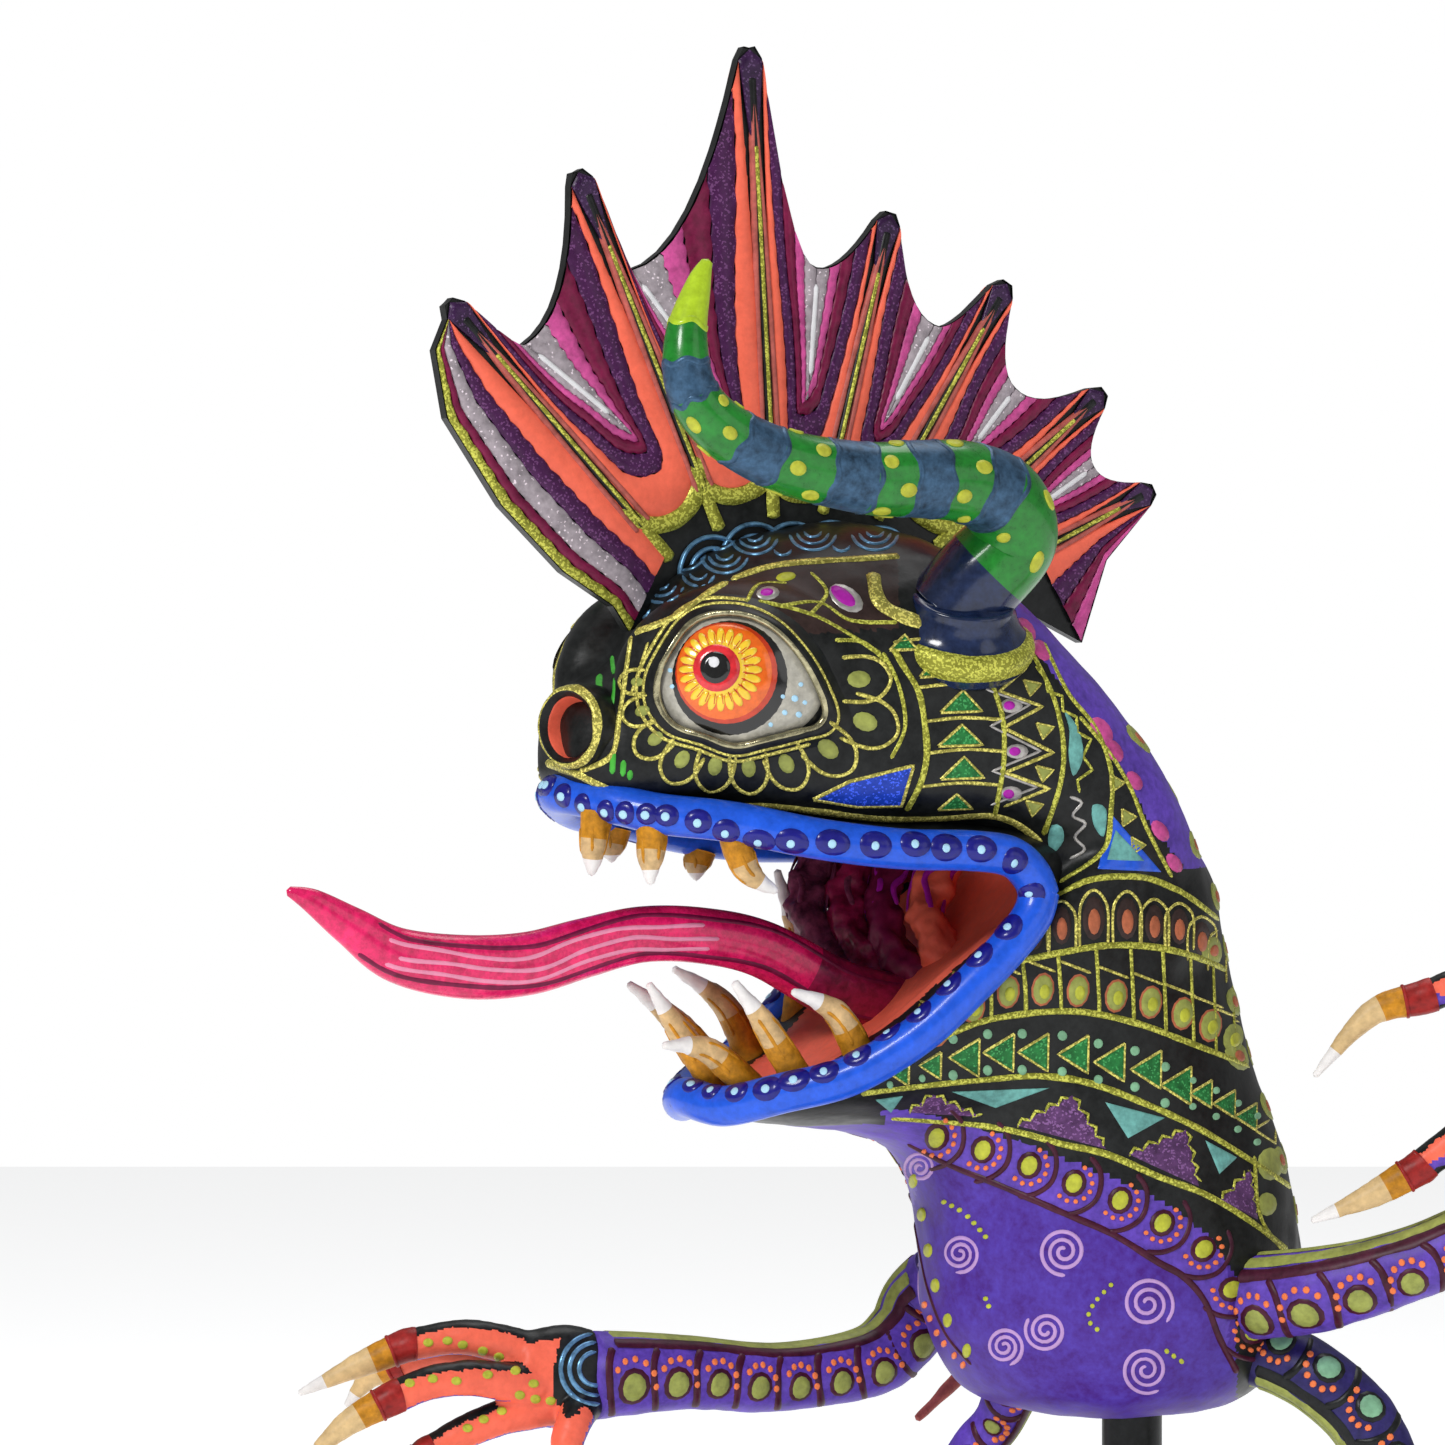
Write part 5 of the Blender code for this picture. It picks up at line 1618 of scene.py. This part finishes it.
def brow_patterns(surface):
    """The brow's gold lines and silver ovals."""
    stroke(surface, BROW_LINE, 2.3, "gold", height=0.5)
    stroke(surface, [(-64.5, 369.3), (-63, 362.4), (-58, 358.9), (-48.7, 355.9), (-38.8, 353.5), (-31, 357)], 4.0,
           "gold", height=0.8)
    for width, line in ((1.3, [(-93.1, 362.4), (-78.3, 358.4), (-62.5, 349)]),
                        (1.2, [(-88, 361), (-78, 362), (-70, 357.5), (-58.5, 357)]),
                        (1.1, [(-80, 359), (-76, 364.5), (-80, 369.5)]),
                        (1.1, [(-96, 362), (-93, 366.5), (-86, 366.8)]),
                        (1.2, [(-74, 352.5), (-67, 352), (-61, 347)])):
        stroke(surface, line, width, "olive_glitter")
    dot(surface, -86.2, 368.3, 2.6, 1.1, "yellow_green", tilt=8)
    dot(surface, -90.7, 364.2, 3.0, 1.7, "silver", tilt=5)
    dot(surface, -91, 364.3, 1.7, 0.9, "magenta", tilt=5, height=0.4)
    dot(surface, -71.2, 363, 5.0, 2.9, "silver", tilt=-35)
    dot(surface, -72, 363.4, 3.9, 1.7, "magenta", tilt=-38, height=0.4)


def scale_patterns(surface):
    """Steel-blue scales above the brow."""
    for x, z in SCALES:
        for size in (2.2, 4.1, 6.0):
            arc = []
            for tick in range(7):
                angle = math.radians(195 + 25 * tick)
                arc.append((x + size * math.cos(angle), z + size * 0.85 * math.sin(angle)))
            if all(spot[1] > height_on(BROW_LINE, spot[0]) + 1.2 for spot in arc):
                stroke(surface, arc, 1.0, "steel_blue", height=0.4)


def snout_patterns(surface):
    """The lines between eye and nostril, the line above the lip and the petals under the eye."""
    stroke(surface, [(-124.8, 353.5), (-126.2, 343.6), (-127.7, 333.7), (-129.7, 323.8), (-137.6, 319.9)], 1.5,
           "gold", height=0.4)
    stroke(surface, [(-120.5, 352), (-122.5, 346), (-124.8, 339)], 0.9, "gold")
    stroke(surface, [(-132.7, 344), (-132.9, 336), (-132, 328)], 2.0, "bright_green", height=0.35)
    stroke(surface, [(-129.6, 348.5), (-129, 341), (-130, 334)], 1.4, "bright_green", height=0.3)
    for x, z, size in ((-129.2, 322, 2.8), (-126.6, 320.6, 2.0), (-124.9, 318.9, 1.2)):
        stroke(surface, [(x, z + size), (x - 0.3, z - size)], 1.5, "bright_green", height=0.35)
    lip_line = [(-146, 322), (-139.1, 319.4), (-131.7, 315.9), (-122.8, 313), (-108, 311.3), (-92.1, 311.3),
                (-78.3, 309.8), (-63.5, 308), (-48.7, 308), (-33.8, 308.5), (-24.5, 303.5), (-20, 296)]
    stroke(surface, lip_line, 2.4, "gold", height=0.5)
    for x, z, size in ((-123.8, 342.1, 0.62), (-122.5, 334.7, 0.72), (-119.2, 327.6, 0.85), (-112.4, 322.3, 0.95),
                       (-104, 320.6, 0.95), (-95.4, 320.2, 0.95), (-85.8, 321.2, 1.0), (-75.2, 325, 1.15),
                       (-65.9, 332, 1.25), (-67.4, 342.8, 1.15)):
        petal(surface, x, z, size)
    stroke(surface, [(-62, 349.5), (-58, 341), (-56.5, 331), (-60, 323)], 1.1, "olive_glitter")
    outlined(surface, [(-79.3, 312.8), (-70.4, 317.2), (-54.4, 321.2), (-57.4, 311.2), (-68.4, 311)], "royal",
             width=1.1, height=0.25)


def cheek_patterns(surface):
    """The cheek's columns between its upright arcs: triangles, zigzag and ovals."""
    for number, arc in enumerate(ARCS):
        stroke(surface, arc, 1.5 if number else 1.8, "olive_glitter", height=0.4)
    for z in CELL_LINES:
        left, right = arc_x(ARCS[0], z), arc_x(ARCS[1], z)
        stroke(surface, [(left, z - 0.5), ((left + right) / 2, z + 0.5), (right, z)], 0.9, "gold")
    for x, z, half, tall in ((-57, 351.6, 3.4, 3.6), (-48.3, 345.8, 4.6, 5.6), (-42.5, 336.8, 5.2, 5.2),
                             (-42.7, 328.3, 5.6, 5.0), (-42.2, 320.2, 5.4, 5.2), (-44, 311.9, 4.2, 3.6)):
        outlined(surface, [(x - half, z - tall * 0.45), (x + 0.4, z + tall * 0.62), (x + half, z - tall * 0.38)],
                 "green")
    zigzag = [(-37.8, 344.2), (-26, 346), (-33, 339.8), (-22.2, 336), (-32, 330.7), (-19.5, 324.5), (-31.6, 319.5),
              (-20.5, 315.5), (-32, 311)]
    stroke(surface, zigzag, 0.95, "gold", sharp=True, height=0.3)
    stroke(surface, [(x - 3.2, z + 0.4) for x, z in zigzag[1:]], 0.7, "silver", sharp=True, height=0.3)
    for x, z in ((-36, 347.8), (-30.4, 336.2), (-29, 324.8), (-30.5, 314.3)):
        dot(surface, x + 0.4, z, 2.9, 1.9, "silver", height=0.25)
        dot(surface, x - 0.3, z, 1.5, 1.2, "magenta", height=0.45)
    for x, z in ((-25, 341), (-21.8, 330.3), (-21.9, 319.6), (-24.5, 311)):
        outlined(surface, [(x - 2, z + 1.6), (x + 2.4, z + 0.6), (x - 0.4, z - 2.4)], "olive", width=0.6)


def nape_patterns(surface):
    """The wavy lines, teal shapes and pink dabs behind the cheek."""
    wave = [(-24, 346), (-21.5, 343), (-21, 339.8), (-17.4, 338.6), (-17.2, 335), (-13.8, 333.4), (-13.6, 329.6),
            (-10.2, 327.8), (-12.2, 323.6), (-9.8, 320.2), (-13.6, 317.6), (-13, 314.5)]
    stroke(surface, wave, 0.9, "olive_glitter", sharp=True, height=0.3)
    leaf = [(-16.8, 335), (-13.6, 331), (-12.2, 326), (-12.4, 322), (-14.6, 318.5), (-15.8, 324), (-15.6, 330)]
    patch(surface, leaf, "teal", height=0.25)
    patch(surface, [(-20, 306.5), (-17.4, 306), (-17, 302.5), (-19.6, 299.5), (-21, 302.5)], "teal", height=0.25)
    squiggle = [(-15.5, 313.5), (-12.5, 312), (-14.8, 308.8), (-11.6, 306.8), (-14.2, 303.4), (-11.8, 300.4),
                (-15.5, 298)]
    stroke(surface, squiggle, 0.9, "silver", height=0.3)
    patch(surface, [(-9.8, 311.5), (-6.4, 310.5), (-7, 303.5), (-9.6, 306.5)], "teal", height=0.25)
    patch(surface, [(-4.8, 309), (7.6, 294.6), (-8.8, 295.4)], "lip", height=0.2, sharp=True)
    patch(surface, [(-4.2, 305.5), (3.2, 297.4), (-6.4, 297.6)], "teal", height=0.35, sharp=True)
    stroke(surface, [(-13, 333.5), (-6, 325), (-0.5, 316), (4, 305), (10, 293.5)], 1.3, "olive_glitter", height=0.4)
    for x, z in ((-3.4, 317), (-0.5, 308.5), (1.8, 301.5)):
        outlined(surface, [(x - 2, z + 2), (x + 1.6, z), (x - 1.8, z - 2.4)], "olive", width=0.6)
    for x, z, size in ((-26.6, 355, 2.6), (-22.6, 350, 2.2), (-7.6, 330, 2.8), (-4.6, 325, 2.4), (0.6, 317.5, 2.0),
                       (7, 305, 2.2), (10.5, 297, 2.0)):
        dot(surface, x, z, size * 1.4, size * 0.8, "pink", tilt=-55, height=0.3)


def stepped(surface, line):
    """A saw-toothed gold line."""
    route = []
    for number, (x, z, slope) in enumerate(along_line(line, 1.9)):
        lean = math.radians(slope + 90)
        push = 0.75 if number % 2 else -0.75
        route.append((x + push * math.cos(lean), z + push * math.sin(lean)))
    if len(route) > 1:
        stroke(surface, route, 0.8, "olive_glitter", height=0.3, sharp=True)


ARCHES = ((-30.2, 277.2, 0.8), (-24.2, 279.6, 0.85), (-17.5, 281.4, 0.95), (-9.5, 283.2, 1.1), (-1.2, 283.2, 1.05),
          (5.6, 281.9, 0.95), (11.8, 281.2, 0.9), (17.4, 278.2, 0.85), (22.4, 275.4, 0.8), (27, 272, 0.75))
SCALLOPS = ((-48.3, 255.3), (-39.4, 261.1), (-30.8, 264.9), (-22.2, 265.5), (-13.4, 265.2), (-3.9, 263.9),
            (4.7, 262.3), (12.7, 259.5), (19.6, 256.5), (25.2, 253.4), (30, 250.5))
TRIANGLES = ((-58, 245), (-50, 246.6), (-41.4, 248.6), (-32.8, 249.8), (-24.2, 249.9), (-14.2, 249.4),
             (-5.2, 247.4), (3.9, 245.6), (11.4, 241.6), (17.4, 239.5), (23.2, 237), (28.6, 233.8), (33.4, 230.6))
TEAL_PEAKS = (((-45.2, 240), (-34, 235.9), (-20.2, 241)), ((-6.8, 237.5), (-1, 228.3), (8.4, 233.5)),
              ((18.2, 228), (21.8, 219.4), (26.3, 223.6)), ((-64, 238), (-60, 234.8), (-57, 239)))
PLUM_PEAKS = (((-56, 235), (-49.6, 239.4), (-37.5, 233.8)), ((-29.1, 231.6), (-14.8, 239.3), (-6.2, 225.6)),
              ((-1.2, 224.5), (13.6, 230.8), (16.9, 216.2)), ((21.8, 213), (29.6, 220.9), (31.4, 208)))


def neck_patterns(surface):
    """Bands of arches, scallops, triangles and peaks round the neck."""
    for line in (BAND_A_TOP, BAND_A_END, BAND_B_END, BAND_C_END, BAND_D_END):
        stroke(surface, line, 1.8, "olive_glitter", height=0.5)
    for x, z, size in ARCHES:
        dot(surface, x, z, 2.6 * size, 5.2 * size, "brown", height=0.15)
        dot(surface, x, z - 0.8, 1.4 * size, 3.1 * size, "rust", height=0.35)
        arch = [(x - 3.5, z - 6.5 * size), (x - 3.5, z + 2), (x - 2, z + 5.2 * size), (x, z + 6.4 * size),
                (x + 2, z + 5.2 * size), (x + 3.5, z + 2), (x + 3.5, z - 6.5 * size)]
        stroke(surface, arch, 0.85, "gold", height=0.35)
    for x, z in SCALLOPS:
        dot(surface, x, z, 3.0, 4.4, "rust", tilt=-8, height=0.1)
        dot(surface, x, z, 2.5, 3.8, "olive", tilt=-8, height=0.3)
        dot(surface, x + 0.3, z - 0.5, 1.3, 1.9, "yellow_green", tilt=-8, height=0.45)
        post = [(x - 5.0, height_on(BAND_A_END, x - 5)), (x - 4.3, z), (x - 4.2, height_on(BAND_B_END, x - 4.2))]
        stroke(surface, post, 1.2, "olive_glitter", height=0.35)
        stroke(surface, [(x - 4.6, z + 7.4), (x + 3.2, z + 4.4)], 0.8, "gold", height=0.3)
    for x, z in TRIANGLES:
        size = 0.72 if x < -45 or x > 14 else 1.0
        outlined(surface, [(x + 3.4 * size, z + 4.6 * size), (x - 4.2 * size, z), (x + 3.2 * size, z - 4.8 * size)],
                 "green", width=0.75)
        for lift in (4.6, -4.4):
            dot(surface, x - 3.2 * size, z + lift * size, 1.15 * size, 1.25 * size, "pale_green", height=0.4)
    for peak in TEAL_PEAKS:
        patch(surface, peak, "teal", height=0.25, sharp=True)
    for low, top, high in PLUM_PEAKS:
        patch(surface, [low, top, high], "plum", height=0.25, sharp=True)
        stepped(surface, [low, top])
        stepped(surface, [top, high])
    for x, z, size in ((34.5, 222, 4.2), (37.8, 205.5, 5.0), (33.6, 212, 3.0)):
        dot(surface, x, z, size * 0.8, size, "olive", height=0.35)
    stroke(surface, [(30.5, 224), (32, 209), (38, 200)], 1.4, "olive_glitter", height=0.4)


def strip_patterns(surface):
    """The maroon scallops, ovals and orange dots on the strip between neck and belly."""
    for x, z, slope in along_line(STRIP, 12.1, 7.2):
        lean = math.radians(slope)
        along, across = (math.cos(lean), math.sin(lean)), (-math.sin(lean), math.cos(lean))
        arc = []
        for reach, rise in ((1.4, 7.6), (4.9, 5.2), (6.6, 1.2), (6.4, -2.6), (3.8, -6.2), (0.2, -8.4)):
            arc.append((x + along[0] * reach + across[0] * rise, z + along[1] * reach + across[1] * rise))
        stroke(surface, arc, 1.4, "maroon", height=0.45)
        dot(surface, x, z, 3.2, 3.6, "maroon", tilt=slope, height=0.3)
        dot(surface, x, z, 2.1, 2.6, "yellow_green", tilt=slope, height=0.5)
        for tick in range(8):
            angle = math.radians(slope - 115 + 27 * tick)
            dot(surface, x + 4.7 * math.cos(angle) - 0.2 * along[0], z + 4.7 * math.sin(angle) - 0.2 * along[1],
                0.62, 0.62, "orange", height=0.45, count=8)
    stroke(surface, STRIP_END, 1.9, "maroon", height=0.5)


def belly_patterns(surface):
    """Lilac curls and dotted trails on the violet belly."""
    curls = ((-52.8, 221.1, 4.0, 0.4, 1), (-42.9, 199.7, 4.8, 2.0, -1), (-17, 200.2, 6.0, 1.0, 1),
             (3.9, 187.2, 6.6, 3.0, -1), (-21.5, 180.5, 5.2, 0.0, -1), (-31.8, 176.5, 4.8, 2.5, -1),
             (3.5, 170.7, 6.0, 1.5, 1))
    for x, z, size, start, way in curls:
        curl(surface, x, z, size, start, way)
    for line in ([(-47, 212.7), (-41.5, 209.6), (-36.2, 203.7)],
                 [(-5, 192.1), (-9.5, 187.2), (-10.8, 183.2), (-7.7, 180.1)],
                 [(-36.5, 188.8), (-35.6, 186.6)], [(8.4, 175.6), (12.9, 172.5)]):
        for x, z, _ in along_line(line, 2.3):
            dot(surface, x, z, 0.62, 0.62, "yellow_green", height=0.35, count=8)
    edge = [(-57.9, 222), (-55.2, 212.7), (-53, 201), (-50.7, 190.3), (-46.3, 179.6), (-40, 172)]
    stroke(surface, edge, 1.4, "maroon", height=0.4)
    for x, z, _ in along_line([(x - 2.0, z) for x, z in edge], 3.6):
        dot(surface, x, z, 0.6, 0.9, "orange", height=0.4, count=8)
    for x, z, _ in along_line([(x + 2.2, z) for x, z in edge], 9.0, 4.0):
        dot(surface, x, z, 1.0, 1.8, "yellow_green", height=0.4)


def back_patterns(surface, low, high):
    """Rows of large ovals up the spine."""
    for row in range(15):
        z = 172 + 13.0 * row
        if not low < z < high:
            continue
        for number in range(-3, 4):
            a = 12.5 * number + 6 * (row % 2)
            dot(surface, a, z, 4.6, 3.6, "olive", height=0.3)
            dot(surface, a, z, 2.0, 1.5, "rust", height=0.5)


# The lips' ovals, from the snout round to the chin: x, z, half length and half height.
LIP_SPOTS = [(-145.5, 316.6, 2.2, 3), (-141.5, 313.75, 2.3, 3.2), (-136.75, 311.2, 2.3, 3.2),
             (-131.5, 309.9, 2.2, 3), (-126.6, 309.4, 2.3, 3.1), (-121.5, 309.3, 2.4, 2.8),
             (-115.5, 308.8, 2.8, 2.8), (-108.25, 307.3, 3.2, 3.2), (-101, 304.6, 3.4, 3.4), (-93.2, 302.4, 4, 3.3),
             (-84.25, 302, 4, 3.5), (-74, 302, 4.1, 3.4), (-64, 301.6, 4, 3.6), (-54.25, 302, 3.9, 3.5),
             (-46.5, 301, 4, 3.7), (-37, 300.6, 3.9, 3.6), (-29, 297.2, 3.6, 3.8), (-25.4, 289.6, 3.8, 3.8),
             (-30.75, 281.5, 3.9, 3.8), (-38.5, 273.9, 3.9, 3.7), (-45.9, 266.9, 3.9, 3.6), (-53, 260.2, 3.9, 3.5),
             (-61, 254.8, 3.9, 3.4), (-68.4, 249.4, 3.9, 3.4), (-76.25, 245.4, 3.9, 3.3), (-84.25, 243.2, 3.8, 3.3),
             (-91.5, 240.9, 3.5, 3.3), (-98.5, 240.3, 3.2, 3.1), (-104.5, 240.5, 2.9, 3), (-109.6, 242, 2.4, 2.8)]


def lip_patterns(rolls, turn):
    """Navy ovals with pale-blue dots on the rolled lips."""
    surface = laid_on(tree_of(*[roll.object for roll in rolls]), turn, everywhere=True)
    for x, z, long_half, high_half in LIP_SPOTS:
        found = surface(x, z)
        if found is None:
            continue
        place = found[0] / MM
        options = []
        for roll in rolls:
            gaps = [(spot - place).length for spot in roll.places]
            options.append((min(gaps), roll, gaps.index(min(gaps))))
        _, roll, index = min(options, key=lambda option: option[0])
        _, side_axis, rise = roll.axes[index]
        reach = place - roll.places[index]
        angle = math.degrees(math.atan2(reach.dot(rise), reach.dot(side_axis)))
        around = wrapped(roll, angle)
        dot(around, roll.lengths[index], 0, long_half, high_half, "navy", height=0.3, count=20)
        dot(around, roll.lengths[index] + 0.2, 0.3, 1.0, 1.05, "pale_blue", height=0.5)


def make_patterns(skin, lids, lips):
    """All the raised paint that lies on the skin and the lips."""
    tree = tree_of(skin, *lids)
    patch(laid_on(tree), [(-58.5, 293), (-50, 291.5), (-46.2, 289.5), (-50, 283.5), (-55.5, 279.8)], "magenta",
          height=0.3)
    barred = {face.index for face in skin.data.polygons if face.material_index in (2, 3)}
    for turn in (None, HEAD_TURN):
        surface = laid_on(tree, turn, barred)
        for patterns in (brow_patterns, scale_patterns, snout_patterns, cheek_patterns, nape_patterns):
            patterns(surface)
        lip_patterns(lips, turn)
    for turn in (None, NECK_TURN):
        surface = laid_on(tree, turn, barred)
        neck_patterns(surface)
        strip_patterns(surface)
    for turn in (None, BODY_TURN):
        belly_patterns(laid_on(tree, turn, barred))
    back_patterns(seen_from(tree, 30.0, (-4, 6, 0)), 168, 260)
    back_patterns(seen_from(tree, 28.0, (-20, 0, 0)), 260, 330)


# The post's dots are a layer of their own, as they stay on the stand.
LAYER_PAINTS = {"post_yellow": "yellow_green"}


def finish_layers():
    """Turn each colour's raised paint into one object."""
    for colour, (points, faces) in sorted(layers.items()):
        made = add_mesh("raised_" + colour, points, faces, (LAYER_PAINTS.get(colour, colour.replace("crest_", "")),))
        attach(made, "stand" if colour.startswith("post_") else "figure")


# ---------------------------------------------------------------- room

# Name, place and size in metres, and power in watts.
LAMPS = (("key", (-1.1, -1.6, 1.5), 0.6, 27), ("fill", (1.5, -1.2, 0.9), 1.4, 5), ("top", (0.1, 0.5, 1.9), 1.2, 11))
LAMP_AIM = Vector((0, 0, 0.3))
FLOOR_HALF = 3
FLOOR_GLOW = 0.62
SKY_LIGHT = 0.25             # what the white sky gives the figure; the camera sees it at full strength


def make_room():
    """Pale floor, soft light and the camera."""
    corners = [Vector((x * FLOOR_HALF, y * FLOOR_HALF, 0)) for x, y in ((-1, -1), (1, -1), (1, 1), (-1, 1))]
    floor = add_mesh("floor", corners, [(0, 1, 2, 3)], ("backdrop",))
    shader = PAINTS["backdrop"].node_tree.nodes["Principled BSDF"]
    shader.inputs["Emission Color"].default_value = (1.0, 1.0, 1.0, 1)
    shader.inputs["Emission Strength"].default_value = FLOOR_GLOW
    for name, place, size, power in LAMPS:
        light = bpy.data.lights.new(name, "AREA")
        light.shape = "DISK"
        light.size = size
        light.energy = power
        lamp = bpy.data.objects.new(name, light)
        lamp.location = place
        lamp.rotation_mode = "QUATERNION"
        lamp.rotation_quaternion = (LAMP_AIM - Vector(place)).to_track_quat("-Z", "Y")
        bpy.context.scene.collection.objects.link(lamp)
    world = bpy.data.worlds.new("room")
    world.use_nodes = True
    tree = world.node_tree
    sky = tree.nodes["Background"]
    sky.inputs["Color"].default_value = (1.0, 1.0, 1.0, 1)
    seen = tree.nodes.new("ShaderNodeLightPath").outputs["Is Camera Ray"]
    level = node(tree, "ShaderNodeMapRange", To_Min=SKY_LIGHT, To_Max=1.0, Value=seen)
    tree.links.new(level.outputs[0], sky.inputs["Strength"])
    bpy.context.scene.world = world
    camera = bpy.data.cameras.new("camera")
    camera.lens = LENS
    camera.clip_start = 0.05
    camera.clip_end = 20
    eye = bpy.data.objects.new("camera", camera)
    eye.location = VIEW_POINT
    eye.rotation_euler = (math.radians(90), 0, 0)
    bpy.context.scene.collection.objects.link(eye)
    bpy.context.scene.camera = eye
    bpy.context.scene.view_settings.view_transform = "Standard"


def main():
    """Build every piece, then lay the raised paint on them."""
    skin = make_skin()
    lids = make_eyes(skin)
    make_nostrils()
    lips = make_lips()
    make_throat()
    make_tongue()
    make_teeth()
    make_horns()
    make_crest()
    make_limbs()
    hand = make_hand("right", PALM_RIGHT, FINGERS_RIGHT, CLAWS_RIGHT, (-0.2, -1, 0.1))
    palm_patterns(hand)
    make_hand("left", PALM_LEFT, FINGERS_LEFT, CLAWS_LEFT, (-1, -0.3, 0))
    make_feet()
    make_stand()
    make_patterns(skin, lids, lips)
    finish_layers()
    for name, colour in CAD_PAINTS.items():
        repaint(bpy.data.objects[name], (colour,))
    make_room()


main()
